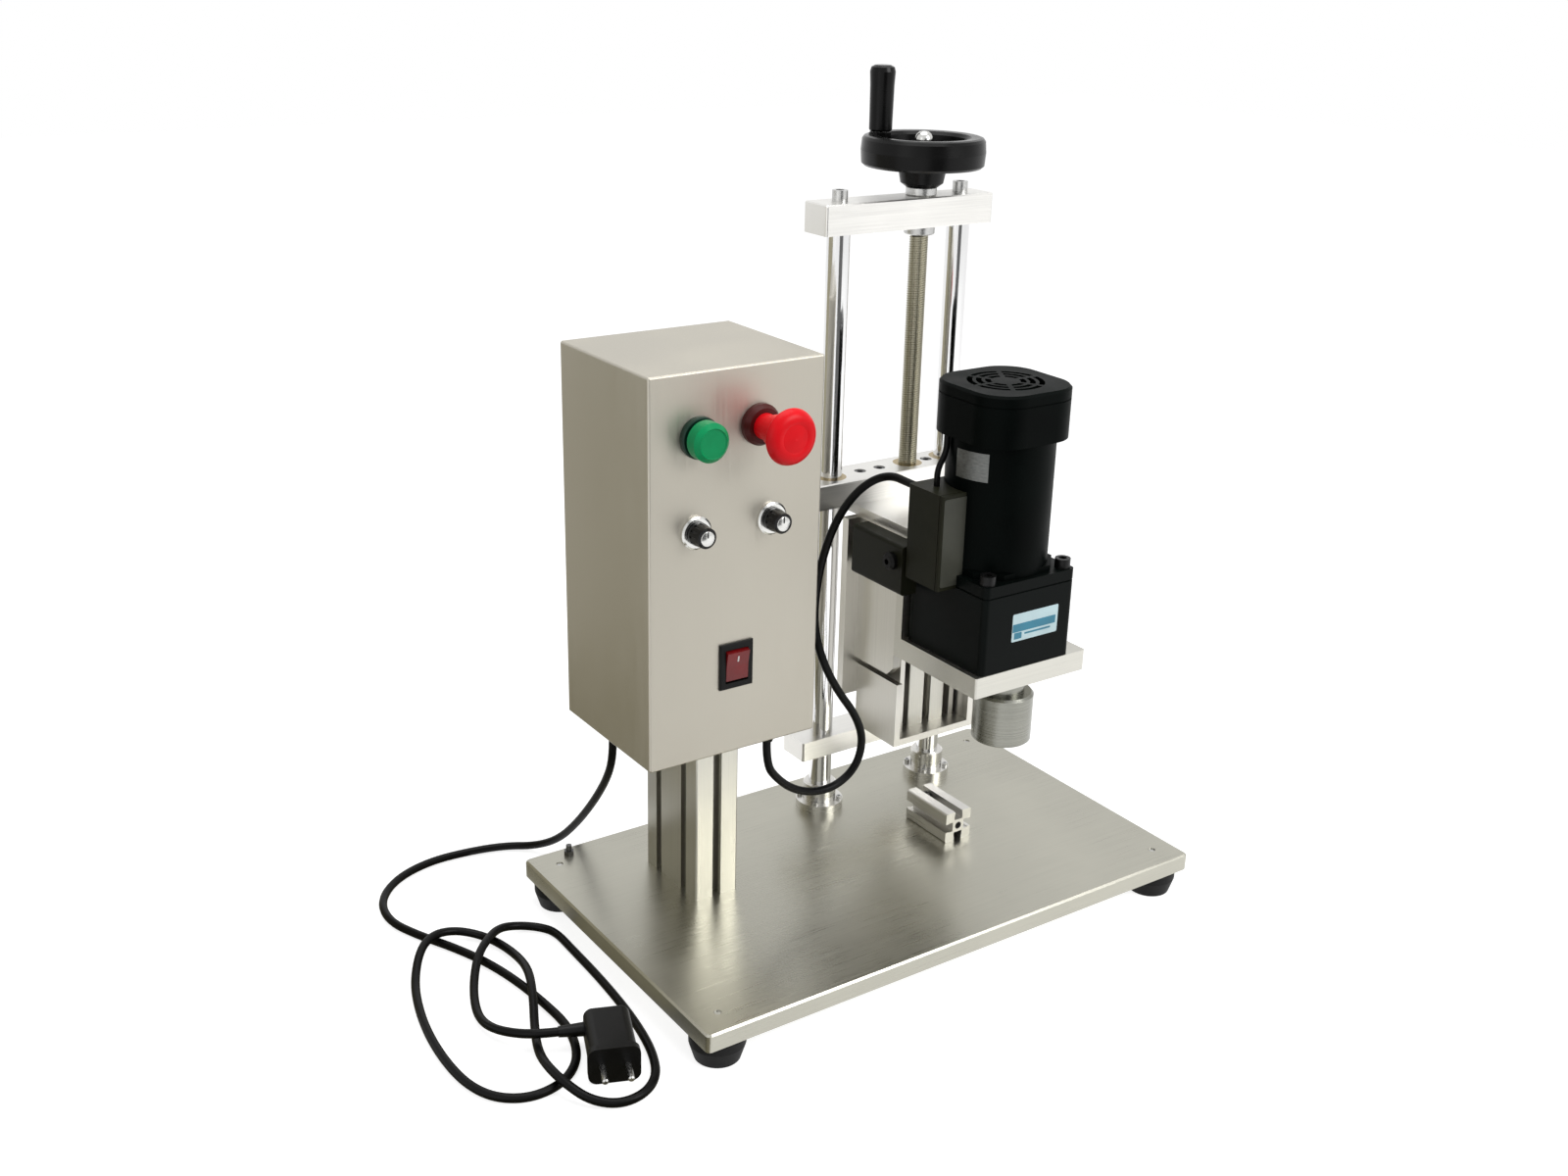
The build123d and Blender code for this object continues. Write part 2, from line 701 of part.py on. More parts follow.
def control_box_back():
    cover = block(BOX_X - BOX_W / 2, BOX_X + BOX_W / 2, BOX_BACK_Y - BOX_WALL, BOX_BACK_Y,
                  BOX_Z, BOX_Z + BOX_H)
    return fillet(cover.edges().filter_by(Axis.Y), BOX_R)


def gland(big_d, tip_d, length, neck_d, bore_d):
    """Bushing that hangs under a panel at z = 0, its neck through the panel."""
    body = turned([(bore_d / 2, -length), (tip_d / 2, -length), (big_d / 2, -length * 0.45),
                   (big_d / 2, 0), (neck_d / 2, 0), (neck_d / 2, BOX_WALL + 3), (bore_d / 2, BOX_WALL + 3)])
    return body


def mains_gland():
    body = gland(MAINS_GLAND_D, MAINS_GLAND_TIP_D, MAINS_GLAND_L, MAINS_GLAND_D * 0.8 - 2 * RUN,
                 MAINS_D)
    plugged = body + rod(MAINS_D, -MAINS_GLAND_L, BOX_WALL + 3)
    return put(plugged, MAINS_X, MAINS_Y, BOX_Z)


def cable_gland():
    body = gland(CABLE_GLAND_D, CABLE_D + 2.5, CABLE_GLAND_L, CABLE_GLAND_D * 0.7 - 2 * RUN,
                 CABLE_D)
    plugged = body + rod(CABLE_D, -CABLE_GLAND_L, BOX_WALL + 3)
    return put(plugged, CABLE_GLAND_X, CABLE_GLAND_Y, BOX_Z)


def button_bezel():
    bore = BUTTON_STEM_D / 2 + RUN
    flange_r = BUTTON_FLANGE_D / 2
    barrel_r = BUTTON_BARREL_D / 2
    ring = turned([(bore, -BUTTON_BARREL_L), (barrel_r, -BUTTON_BARREL_L), (barrel_r, 0),
                   (flange_r, 0), (flange_r, BUTTON_FLANGE_H - 1), (flange_r - 1, BUTTON_FLANGE_H),
                   (bore, BUTTON_FLANGE_H)])
    return facing(ring, BUTTON_X, BUTTON_Z)


def button_cap():
    base = BUTTON_FLANGE_H + BUTTON_STROKE + BUTTON_GAP
    top = base + BUTTON_CAP_H
    r = BUTTON_CAP_D / 2
    f = BUTTON_FACE_D / 2
    foot = -BUTTON_BARREL_L + BUTTON_STROKE + 2
    cap = turned([(0, foot), (BUTTON_STEM_D / 2, foot), (BUTTON_STEM_D / 2, base), (r, base),
                  (r, top - 3.5), (r - 2, top - 1.5), (f, top), (f - 1, top - 1), (0, top - 1)])
    return facing(cap, BUTTON_X, BUTTON_Z)


def stop_base():
    bore = STOP_STEM_D / 2 + RUN
    barrel_r = BUTTON_BARREL_D / 2
    ring = turned([(0, -BUTTON_BARREL_L), (barrel_r, -BUTTON_BARREL_L), (barrel_r, 0),
                   (STOP_BASE_D / 2, 0), (STOP_BASE_D / 2, 4), (STOP_BASE_TOP_D / 2, STOP_BASE_H),
                   (bore, STOP_BASE_H), (bore, -STOP_STROKE - 2), (0, -STOP_STROKE - 2)])
    return facing(ring, STOP_X, STOP_Z)


def stop_stem():
    top = STOP_BASE_H + STOP_STEM_STICKOUT
    stem = rod(STOP_STEM_D, -1, top) + rod(STOP_SPIGOT_D, top, top + STOP_SPIGOT_L)
    return facing(stem, STOP_X, STOP_Z)


def stop_head():
    """Mushroom head that narrows back to its stem like a trumpet."""
    base = STOP_BASE_H + STOP_STEM_STICKOUT
    top = base + STOP_HEAD_H
    r = STOP_HEAD_D / 2
    bore = STOP_SPIGOT_D / 2 + RUN
    well = base + STOP_SPIGOT_L + 0.5
    back_r = STOP_HEAD_BACK_D / 2
    rim_z = base + STOP_HEAD_H * 0.72
    outline = Polyline((0, 0, well), (bore, 0, well), (bore, 0, base + 0.1), (back_r, 0, base + 0.1),
                       (back_r + 0.5, 0, base + STOP_HEAD_H * 0.28), (r - 1, 0, rim_z - 2), (r, 0, rim_z))
    dome = ThreePointArc((r, 0, rim_z), (r * 0.88, 0, top - STOP_HEAD_H * 0.1), (r * 0.5, 0, top - 1))
    cap = Polyline((r * 0.5, 0, top - 1), (0, 0, top), (0, 0, well))
    head = revolve(make_face(Curve() + [outline, dome, cap]), Axis.Z)
    return facing(head, STOP_X, STOP_Z)


def speed_pots():
    """Potentiometer body, bush and the bright ring round each knob."""
    bush_r = POT_BUSH_D / 2
    ring_r = POT_RING_D / 2
    bore = POT_SHAFT_D / 2 + RUN
    w = BOX_WALL
    back = -w - POT_BODY_L
    pot = turned([(0, back), (POT_BODY_D / 2, back), (POT_BODY_D / 2, -w), (bush_r, -w), (bush_r, 0),
                  (ring_r, 0), (ring_r, POT_RING_H - 1), (ring_r - 1.5, POT_RING_H),
                  (bore, POT_RING_H), (bore, back + 3), (0, back + 3)])
    return group(facing(pot, x, KNOB_Z) for x in KNOB_X)


def knob(x):
    """Fluted knob with its own shaft down into the potentiometer."""
    base = POT_RING_H + KNOB_GAP
    top = base + KNOB_H
    inner = -BOX_WALL - POT_BODY_L + 4
    body = turned([(0, inner), (POT_SHAFT_D / 2, inner), (POT_SHAFT_D / 2, base), (KNOB_D / 2, base),
                   (KNOB_D / 2, base + 2), (KNOB_TIP_D / 2, top - 1), (KNOB_TIP_D / 2 - 1, top),
                   (KNOB_FACE_D / 2, top), (KNOB_FACE_D / 2, top - 0.6), (0, top - 0.6)])
    flute_r = KNOB_D / 2 + KNOB_FLUTE_R * 0.2
    for i in range(KNOB_FLUTES):
        angle = 360 * i / KNOB_FLUTES
        body -= Rot(0, 0, angle) * rod(KNOB_FLUTE_R * 2, base + 2.5, top + 1, flute_r, 0)
    return facing(body, x, KNOB_Z)


def rocker_frame():
    front = BOX_FRONT_Y - ROCKER_BEZEL_T
    frame = block(ROCKER_X - ROCKER_W / 2, ROCKER_X + ROCKER_W / 2, front, BOX_FRONT_Y,
                  ROCKER_Z - ROCKER_H / 2, ROCKER_Z + ROCKER_H / 2)
    frame = chamfer(frame.faces().sort_by(Axis.Y)[0].edges(), 0.8)
    body = block(ROCKER_X - ROCKER_BODY_W / 2, ROCKER_X + ROCKER_BODY_W / 2, BOX_FRONT_Y,
                 BOX_FRONT_Y + ROCKER_BODY_L, ROCKER_Z - ROCKER_BODY_H / 2, ROCKER_Z + ROCKER_BODY_H / 2)
    well_w = ROCKER_PADDLE_W / 2 + ROCKER_SIDE_GAP
    well_h = ROCKER_PADDLE_H / 2 + ROCKER_SIDE_GAP
    well = block(ROCKER_X - well_w, ROCKER_X + well_w, front - 1, BOX_FRONT_Y + ROCKER_WELL_D,
                 ROCKER_Z - well_h, ROCKER_Z + well_h)
    pin = Pos(ROCKER_X, BOX_FRONT_Y + 3, ROCKER_Z) * Rot(0, 90, 0)
    hole = pin * Cylinder(ROCKER_PIN_D / 2 + RUN, ROCKER_PADDLE_W + 4)
    return frame + body - well - hole


def rocker_switch():
    """Paddle that swings on a cross pin, drawn with its lower half pressed."""
    half = ROCKER_PADDLE_H / 2
    rise = math.tan(math.radians(ROCKER_TILT))
    front = BOX_FRONT_Y - ROCKER_BEZEL_T
    pivot_y = BOX_FRONT_Y + 3
    outline = Polyline((front - 0.6, 0), (front - 0.6 - half * rise * 0.9, half - 1.6),
                       (front + 1.5, half - 0.4), (pivot_y + 5.5, half * 0.45), (pivot_y + 5.5, -half * 0.45),
                       (front + 1.5, -half + 0.6), (front - 0.2, -half + 1.6), close=True)
    profile = make_face(outline)
    paddle = extrude(Plane.YZ * profile, ROCKER_PADDLE_W / 2, both=True)
    pin = Rot(0, 90, 0) * Cylinder(ROCKER_PIN_D / 2, ROCKER_PADDLE_W + 3)
    return put(paddle + put(pin, 0, pivot_y, 0), ROCKER_X, 0, ROCKER_Z)


# Lead screw and handwheel
def wheel_z():
    """Underside of the handwheel hub, on top of the upper screw collar."""
    return HEAD_Z + HEAD_T + COLLAR_GAP + SCREW_COLLAR_H


def lead_screw():
    shoulder = CROSS_Z + CROSS_T + COLLAR_GAP
    neck = wheel_z() + WHEEL_NUT_H + WHEEL_HUB_H + WHEEL_WEB_T
    screw = turned([(0, CROSS_Z + 1), (SCREW_CORE_D / 2, CROSS_Z + 1), (SCREW_CORE_D / 2, shoulder),
                    (SCREW_D / 2, shoulder), (SCREW_D / 2, wheel_z()), (WHEEL_BORE / 2, wheel_z()),
                    (WHEEL_BORE / 2, neck + 2), (0, neck + 2)])
    return put(screw, SCREW_X, ROD_Y)


def screw_collars():
    """Clamped to the screw above and below the head bar, to carry its load."""
    ring = rod(SCREW_COLLAR_D, 0, SCREW_COLLAR_H) - rod(SCREW_D, -1, SCREW_COLLAR_H + 1)
    ring = chamfer(ring.edges().filter_by(GeomType.CIRCLE).sort_by(SortBy.RADIUS)[-2:], 0.8)
    low = HEAD_Z - COLLAR_GAP - SCREW_COLLAR_H
    high = HEAD_Z + HEAD_T + COLLAR_GAP
    return group(put(ring, SCREW_X, ROD_Y, z) for z in (low, high))


def crank_place():
    angle = math.radians(CRANK_ANGLE)
    return (SCREW_X + CRANK_OFFSET * math.cos(angle), ROD_Y + CRANK_OFFSET * math.sin(angle))


def handwheel():
    """Dished wheel: a hub below, a thin web and a deep rounded rim."""
    r = WHEEL_D / 2
    inner = r - WHEEL_RIM_W
    hub_r = WHEEL_HUB_D / 2
    web = WHEEL_HUB_H
    top = WHEEL_HUB_H + WHEEL_RIM_H
    b = WHEEL_BORE / 2
    profile = [(b, 0), (hub_r - 6, 0), (hub_r - 2, 3), (hub_r, web - 4), (hub_r + 4, web),
               (inner + 1, web + 1), (inner + 3, web - 0.5), (r - 3, web - 0.5), (r - 0.8, web + 1.5),
               (r, web + WHEEL_RIM_H * 0.5), (r - 0.8, top - 3), (r - 2.5, top - 0.8), (r - 5, top),
               (inner + 2.5, top - 0.3), (inner, top - 3), (inner - 1, web + WHEEL_WEB_T + 3),
               (inner - 4, web + WHEEL_WEB_T), (hub_r - 4, web + WHEEL_WEB_T), (b, web + WHEEL_WEB_T)]
    wheel = put(turned(profile), SCREW_X, ROD_Y, wheel_z())
    x, y = crank_place()
    rim_top = wheel_z() + top
    boss = rod(CRANK_BOSS_D, wheel_z() + web + WHEEL_WEB_T / 2, rim_top, x, y)
    bore = rod(CRANK_PIN_D, rim_top - WHEEL_RIM_H * 0.6, rim_top + 1, x, y)
    return wheel + boss - bore


def wheel_nut():
    web_top = WHEEL_HUB_H + WHEEL_WEB_T
    nut = hex_bar(WHEEL_NUT_AF, web_top, web_top + WHEEL_NUT_H) - rod(WHEEL_BORE, 0, 2 * web_top)
    return put(nut, SCREW_X, ROD_Y, wheel_z())


def crank_pin():
    x, y = crank_place()
    rim_top = wheel_z() + WHEEL_HUB_H + WHEEL_RIM_H
    return rod(CRANK_PIN_D, rim_top - WHEEL_RIM_H * 0.6, rim_top + CRANK_L - 6, x, y)


def crank_grip():
    x, y = crank_place()
    base = wheel_z() + WHEEL_HUB_H + WHEEL_RIM_H + CRANK_GAP
    bore = CRANK_PIN_D / 2 + RUN
    root = CRANK_ROOT_D / 2
    tip = CRANK_TIP_D / 2
    well = CRANK_L - 5.5
    grip = turned([(0, well), (bore, well), (bore, 0), (root - 1, 0), (root, 1.5), (root, 8),
                   (tip - 0.6, CRANK_L * 0.7), (tip, CRANK_L - 5), (tip - 1, CRANK_L - 1.5),
                   (tip - 4, CRANK_L), (0, CRANK_L)])
    return put(grip, x, y, base)


# Carriage and gearmotor
def upper_block():
    y0 = ROD_Y - HEADBLOCK_D / 2
    top = HEADBLOCK_Z + HEADBLOCK_T
    body = block(HEAD_X - HEADBLOCK_L / 2, HEAD_X + HEADBLOCK_L / 2, y0, y0 + HEADBLOCK_D,
                 HEADBLOCK_Z, top)
    body = fillet(body.edges().filter_by(Axis.Z), HEAD_R)
    body = chamfer(body.faces().sort_by(Axis.Z)[-1].edges(), 1)
    for x, y in rod_places():
        body -= rod(ROD_BUSH_OD, HEADBLOCK_Z - 1, top + 1, x, y)
    body -= rod(NUT_OD, HEADBLOCK_Z - 1, top + 1, SCREW_X, ROD_Y)
    for x in CARRIAGE_SCREW_X:
        body -= rod(CARRIAGE_SCREW_D + 2 * RUN, HEADBLOCK_Z - 1, top, x, ROD_Y)
        body -= rod(CARRIAGE_SCREW_HEAD_D + 2 * BOLT_CLEAR, top - CARRIAGE_SCREW_HEAD_H - 0.5, top + 1,
                    x, ROD_Y)
    return body


def carriage_screws():
    seat = HEADBLOCK_Z + HEADBLOCK_T - CARRIAGE_SCREW_HEAD_H - 0.5
    reach = seat - ARM_Z - 1
    screw = cap_screw(CARRIAGE_SCREW_D, reach, CARRIAGE_SCREW_HEAD_D, CARRIAGE_SCREW_HEAD_H)
    return group(put(screw, x, ROD_Y, seat) for x in CARRIAGE_SCREW_X)


def rod_bushes():
    bush = rod(ROD_BUSH_OD, 0, HEADBLOCK_T) - rod(ROD_D + 2 * RUN, -1, HEADBLOCK_T + 1)
    return group(put(bush, x, y, HEADBLOCK_Z) for x, y in rod_places())


def lead_nut():
    nut = rod(NUT_OD, 0, HEADBLOCK_T) - rod(SCREW_D + 2 * RUN, -1, HEADBLOCK_T + 1)
    return put(nut, SCREW_X, ROD_Y, HEADBLOCK_Z)


def arm_plate():
    plate = block(HEAD_X - ARM_W / 2, HEAD_X + ARM_W / 2, ARM_FRONT_Y, ROD_Y + HEADBLOCK_D / 2,
                  ARM_Z, HEADBLOCK_Z)
    plate -= rod(NUT_OD, ARM_Z - 1, HEADBLOCK_Z + 1, SCREW_X, ROD_Y)
    for x in CARRIAGE_SCREW_X:
        plate -= rod(CARRIAGE_SCREW_D + 2 * RUN, ARM_Z - 1, HEADBLOCK_Z + 1, x, ROD_Y)
    return plate


def back_plate():
    return block(HEAD_X - BACK_W / 2, HEAD_X + BACK_W / 2, BACK_FRONT_Y, BACK_FRONT_Y + BACK_T,
                 BACK_Z, ARM_Z)


def cheek_plates():
    """Side gussets between the back plate and the motor bracket."""
    left = block(CHEEK_X, CHEEK_X + CHEEK_T, CHEEK_FRONT_Y, BACK_FRONT_Y, CHEEK_Z, ARM_Z)
    edge = left.edges().filter_by(Axis.X).group_by(Axis.Z)[0].sort_by(Axis.Y)[0]
    left = chamfer(edge, 8)
    right_x = 2 * HEAD_X - 2 * CHEEK_X - CHEEK_T
    return group([left, put(left, right_x, 0, 0)])


def slide_column():
    y = BACK_FRONT_Y - COLUMN_SIZE / 2
    z0 = GUIDE_Z + GUIDE_WALL
    bar = slotted_section(COLUMN_SIZE, COLUMN_SIZE, [0.0], [0.0], ARM_Z - z0)
    return put(bar, COLUMN_X, y, z0)


def guide_strips():
    """Two flat strips beside the column, on the back plate."""
    solids = []
    z0 = GUIDE_Z + GUIDE_WALL
    for side in (-1, 1):
        x = COLUMN_X + side * (COLUMN_SIZE / 2 + STRIP_OUTSET + STRIP_W / 2)
        solids.append(block(x - STRIP_W / 2, x + STRIP_W / 2, BACK_FRONT_Y - STRIP_D, BACK_FRONT_Y,
                            z0, ARM_Z))
    return group(solids)


def guide_box():
    """Open-fronted shoe with a floor, fixed to the back plate."""
    x0 = GUIDE_X - GUIDE_W / 2
    x1 = GUIDE_X + GUIDE_W / 2
    w = GUIDE_WALL
    shoe = block(x0, x1, GUIDE_FRONT_Y, BACK_FRONT_Y, GUIDE_Z, GUIDE_TOP_Z)
    shoe -= block(x0 + w, x1 - w, GUIDE_FRONT_Y - 1, BACK_FRONT_Y + 1, GUIDE_Z + w, GUIDE_TOP_Z + 1)
    return shoe


def motor_bracket():
    """Thick plate under the gearhead with an upright behind it."""
    x0 = CHEEK_X
    x1 = CHEEK_X + PLATE_L
    back = CHEEK_FRONT_Y
    plate = block(x0, x1, PLATE_FRONT_Y, back, PLATE_Z, GEAR_Z)
    plate = fillet(plate.edges().filter_by(Axis.Z).sort_by(Axis.Y)[:2], 2)
    upright = block(x0, x1, back - UPRIGHT_T, back, PLATE_Z, ARM_Z)
    bracket = plate + upright
    bracket -= rod(PLATE_HOLE_D, PLATE_Z - 1, GEAR_Z + 1, GEAR_X, GEAR_Y - SHAFT_OFFSET)
    for x, y in gear_bolt_places():
        bracket -= rod(GEAR_BOLT_D + 2 * RUN, GEAR_Z - GEAR_BOLT_REACH - 1, GEAR_Z + 1, x, y)
    return bracket


def gear_bolt_places():
    half = GEAR_BOLT_SPAN / 2
    return [(GEAR_X + sx * half, GEAR_Y + sy * half) for sx in (-1, 1) for sy in (-1, 1)]


def gearhead():
    """Square gear case with a groove under its top flange."""
    case = extrude(Plane.XY.offset(GEAR_Z) * RectangleRounded(GEAR_SIZE, GEAR_SIZE, GEAR_R), GEAR_H)
    groove_z = MOTOR_Z - GEAR_FLANGE_H
    size = GEAR_SIZE + 10
    band = extrude(Plane.XY.offset(groove_z - 1.5) * Rectangle(size, size), 1.5)
    core = RectangleRounded(GEAR_SIZE - 2 * GEAR_GROOVE, GEAR_SIZE - 2 * GEAR_GROOVE, GEAR_R - GEAR_GROOVE)
    band -= extrude(Plane.XY.offset(groove_z - 2) * core, 3)
    case -= band
    case = put(case, GEAR_X, GEAR_Y)
    case -= rod(SHAFT_D + 2 * RUN, GEAR_Z - 1, GEAR_Z + SHAFT_IN_GEAR + 0.5, GEAR_X, GEAR_Y - SHAFT_OFFSET)
    for x, y in gear_bolt_places():
        case -= rod(GEAR_BOLT_D + 2 * BOLT_CLEAR, GEAR_Z - 1, MOTOR_Z + 1, x, y)
    return case


def gear_bolts():
    bolt = cap_screw(GEAR_BOLT_D, GEAR_H + GEAR_BOLT_REACH, GEAR_BOLT_HEAD_D, GEAR_BOLT_HEAD_H)
    return group(put(bolt, x, y, MOTOR_Z) for x, y in gear_bolt_places())


def motor_body():
    """Round stator case on a flange cut back for the bolt heads."""
    body = rod(MOTOR_D, MOTOR_Z, COWL_Z)
    plate = RectangleRounded(MOTOR_FLANGE_SIZE, MOTOR_FLANGE_SIZE, 3) & Rot(0, 0, 45) * Rectangle(
        MOTOR_D + 6, MOTOR_D + 6)
    body += extrude(Plane.XY.offset(MOTOR_Z) * plate, MOTOR_FLANGE_H)
    return put(body, GEAR_X, GEAR_Y)


def cowl_grille():
    """Ring slots, cut through by radial spokes that stay."""
    step = (COWL_RING_D - COWL_HUB_D) / 2 / COWL_RINGS
    cut = None
    for i in range(COWL_RINGS):
        outer = COWL_RING_D / 2 - i * step
        ring = Circle(outer) - Circle(outer - COWL_SLOT_W)
        cut = ring if cut is None else cut + ring
    for i in range(COWL_SPOKES):
        cut -= Rot(0, 0, 360 * i / COWL_SPOKES) * Pos(COWL_RING_D / 4, 0) * Rectangle(
            COWL_RING_D / 2 + 4, COWL_SPOKE_W)
    return cut


def fan_cowl():
    """Rounded square fan cover with a stepped top edge and a slotted grille."""
    top = COWL_Z + COWL_H
    cover = extrude(Plane.XY.offset(COWL_Z) * RectangleRounded(COWL_SIZE, COWL_SIZE, COWL_R), COWL_H)
    cover = chamfer(cover.faces().sort_by(Axis.Z)[-1].edges(), COWL_EDGE * 0.5)
    groove = RectangleRounded(COWL_SIZE + 8, COWL_SIZE + 8, COWL_R) - RectangleRounded(
        COWL_SIZE - 1.4, COWL_SIZE - 1.4, COWL_R - 0.7)
    cover -= extrude(Plane.XY.offset(top - 10) * groove, 1.2)
    cover -= extrude(Plane.XY.offset(top - COWL_SLOT_DEPTH) * cowl_grille(), COWL_SLOT_DEPTH + 1)
    return put(cover, GEAR_X, GEAR_Y)


def motor_space(clearance=0.0):
    """What the gearhead and the motor fill, for pieces that fit against them."""
    half = GEAR_SIZE / 2 + clearance
    case = block(GEAR_X - half, GEAR_X + half, GEAR_Y - half, GEAR_Y + half, GEAR_Z - 1, MOTOR_Z + clearance)
    flange = block(GEAR_X - MOTOR_FLANGE_SIZE / 2 - clearance, GEAR_X + MOTOR_FLANGE_SIZE / 2,
                   GEAR_Y - MOTOR_FLANGE_SIZE / 2, GEAR_Y + MOTOR_FLANGE_SIZE / 2, MOTOR_Z,
                   MOTOR_Z + MOTOR_FLANGE_H + clearance)
    return case + flange + rod(MOTOR_D + 2 * clearance, MOTOR_Z - 1, COWL_Z, GEAR_X, GEAR_Y)


def terminal_box():
    """Box on the motor's side, cut to the case behind it, with a front lid."""
    box = block(TERM_X, GEAR_X, TERM_FRONT_Y, TERM_FRONT_Y + TERM_L, TERM_Z, TERM_Z + TERM_H)
    box = fillet(box.edges().filter_by(Axis.Z).sort_by(Axis.X)[:2], TERM_R)
    seam = block(TERM_X - 1, GEAR_X, TERM_FRONT_Y + TERM_LID_T, TERM_FRONT_Y + TERM_LID_T + 0.8,
                 TERM_Z - 1, TERM_Z + TERM_H + 1)
    seam -= block(TERM_X + 0.6, GEAR_X + 1, TERM_FRONT_Y, TERM_FRONT_Y + TERM_L, TERM_Z + 0.6,
                  TERM_Z + TERM_H - 0.6)
    box -= seam
    box -= motor_space(TERM_GAP)
    return box.solids().sort_by(SortBy.VOLUME)[-1]


def capacitor_box():
    x0 = CHEEK_X - CAP_T
    case = block(x0, CHEEK_X, CAP_BACK_Y - CAP_L, CAP_BACK_Y, ARM_Z - CAP_H, ARM_Z)
    case = fillet(case.edges().filter_by(Axis.Y).sort_by(Axis.X)[:2], CAP_R)
    return case


def capacitor_gland():
    z = ARM_Z - CAP_H / 2 + 6
    ring = turned([(LEAD_D / 2, 0), (CAP_GLAND_D / 2, 0), (CAP_GLAND_D / 2, CAP_GLAND_H * 0.6),
                   (CAP_GLAND_D / 2 - 2, CAP_GLAND_H), (LEAD_D / 2, CAP_GLAND_H)])
    return Pos(CHEEK_X - CAP_T, CAP_GLAND_Y, z) * Rot(0, -90, 0) * ring


def tube(points, diameter):
    """Round cable along straight runs joined by tangent arcs."""
    radii = []
    runs = [math.dist(a, b) for a, b in zip(points, points[1:])]
    for i in range(1, len(points) - 1):
        before = Vector(*points[i]) - Vector(*points[i - 1])
        after = Vector(*points[i + 1]) - Vector(*points[i])
        half_turn = math.radians(before.get_angle(after)) / 2
        radii.append(0.45 * min(runs[i - 1], runs[i]) / math.tan(half_turn))
    path = FilletPolyline(*points, radius=radii)
    start = Plane(origin=path @ 0, z_dir=path % 0)
    solid = sweep(start * Circle(diameter / 2), path=path)
    return solid, path.length, radii


def report_tube(name, solid, length, radii, diameter):
    ideal = math.pi * diameter ** 2 / 4 * length
    print(name, "length", round(length, 1), "volume ratio", round(solid.volume / ideal, 4),
          "smallest radius", round(min(radii), 1))
    print(name, "radii", [round(r) for r in radii])


def motor_cable():
    points = [(x, y, DECK + z) for x, y, z in CABLE_ROUTE]
    solid, length, radii = tube(points, CABLE_D)
    report_tube("motor cable", solid, length, radii, CABLE_D)
    return solid


def motor_lead():
    """Short lead from under the fan cover into the top of the terminal box."""
    top = COWL_Z
    low = TERM_Z + TERM_H
    drop = (top - low) / 3
    points = [(LEAD_X, LEAD_Y, top), (LEAD_X, LEAD_Y, top - drop),
              (LEAD_X - LEAD_LEAN, LEAD_Y, low + drop), (LEAD_X - LEAD_LEAN, LEAD_Y, low)]
    solid, length, radii = tube(points, LEAD_D)
    report_tube("motor lead", solid, length, radii, LEAD_D)
    return solid


def mains_cord():
    solid, length, radii = tube(MAINS_ROUTE, MAINS_D)
    report_tube("mains cord", solid, length, radii, MAINS_D)
    return solid


# Mains plug
def plug_frame():
    """Where the plug lies: x runs on from the cord's end."""
    x, y, z = MAINS_ROUTE[-1]
    before_x, before_y, _ = MAINS_ROUTE[-2]
    heading = math.degrees(math.atan2(y - before_y, x - before_x))
    return Pos(x, y, z) * Rot(0, 0, heading)


def mains_plug():
    """Side-entry plug: a tapered sleeve, a rounded body and a pin face."""
    sleeve = Rot(0, 90, 0) * Cone(PLUG_SLEEVE_TIP_D / 2, PLUG_SLEEVE_D / 2, PLUG_SLEEVE_L)
    sleeve = put(sleeve, PLUG_SLEEVE_L / 2)
    z0 = FLOOR_Z - MAINS_ROUTE[-1][2]
    end = PLUG_SLEEVE_L + PLUG_L
    body = block(PLUG_SLEEVE_L - 1, end, -PLUG_FRONT_W, PLUG_BACK_W, z0, z0 + PLUG_H)
    body = fillet(body.edges().filter_by(Axis.Y), PLUG_R)
    body = fillet(body.faces().sort_by(Axis.Y)[-1].edges(), 3)
    lip = PLUG_FACE_LIP
    face = block(PLUG_SLEEVE_L - 1 - lip, end + lip, -PLUG_FRONT_W - PLUG_FACE_T, -PLUG_FRONT_W,
                 z0, z0 + PLUG_H)
    face = fillet(face.edges().filter_by(Axis.Y), PLUG_R)
    return plug_frame() * (sleeve + body + face)


def plug_pins():
    mid_x = PLUG_SLEEVE_L + PLUG_L / 2
    z = FLOOR_Z - MAINS_ROUTE[-1][2] + PLUG_H / 2
    pin = Rot(90, 0, 0) * Cylinder(PLUG_PIN_D / 2, PLUG_PIN_L)
    pin = chamfer(pin.edges().filter_by(GeomType.CIRCLE).sort_by(Axis.Y)[0], 1)
    y = -PLUG_FRONT_W - PLUG_FACE_T - PLUG_PIN_L / 2
    solids = [plug_frame() * Pos(mid_x + side * PLUG_PIN_SPAN / 2, y, z) * pin for side in (-1, 1)]
    return group(solids)


# Chuck
def chuck_top():
    return PLATE_Z - CHUCK_NECK_GAP


def output_shaft():
    z0 = chuck_top() - SHAFT_IN_CHUCK
    shaft = rod(SHAFT_D, z0, GEAR_Z + SHAFT_IN_GEAR)
    return put(shaft, GEAR_X, GEAR_Y - SHAFT_OFFSET)


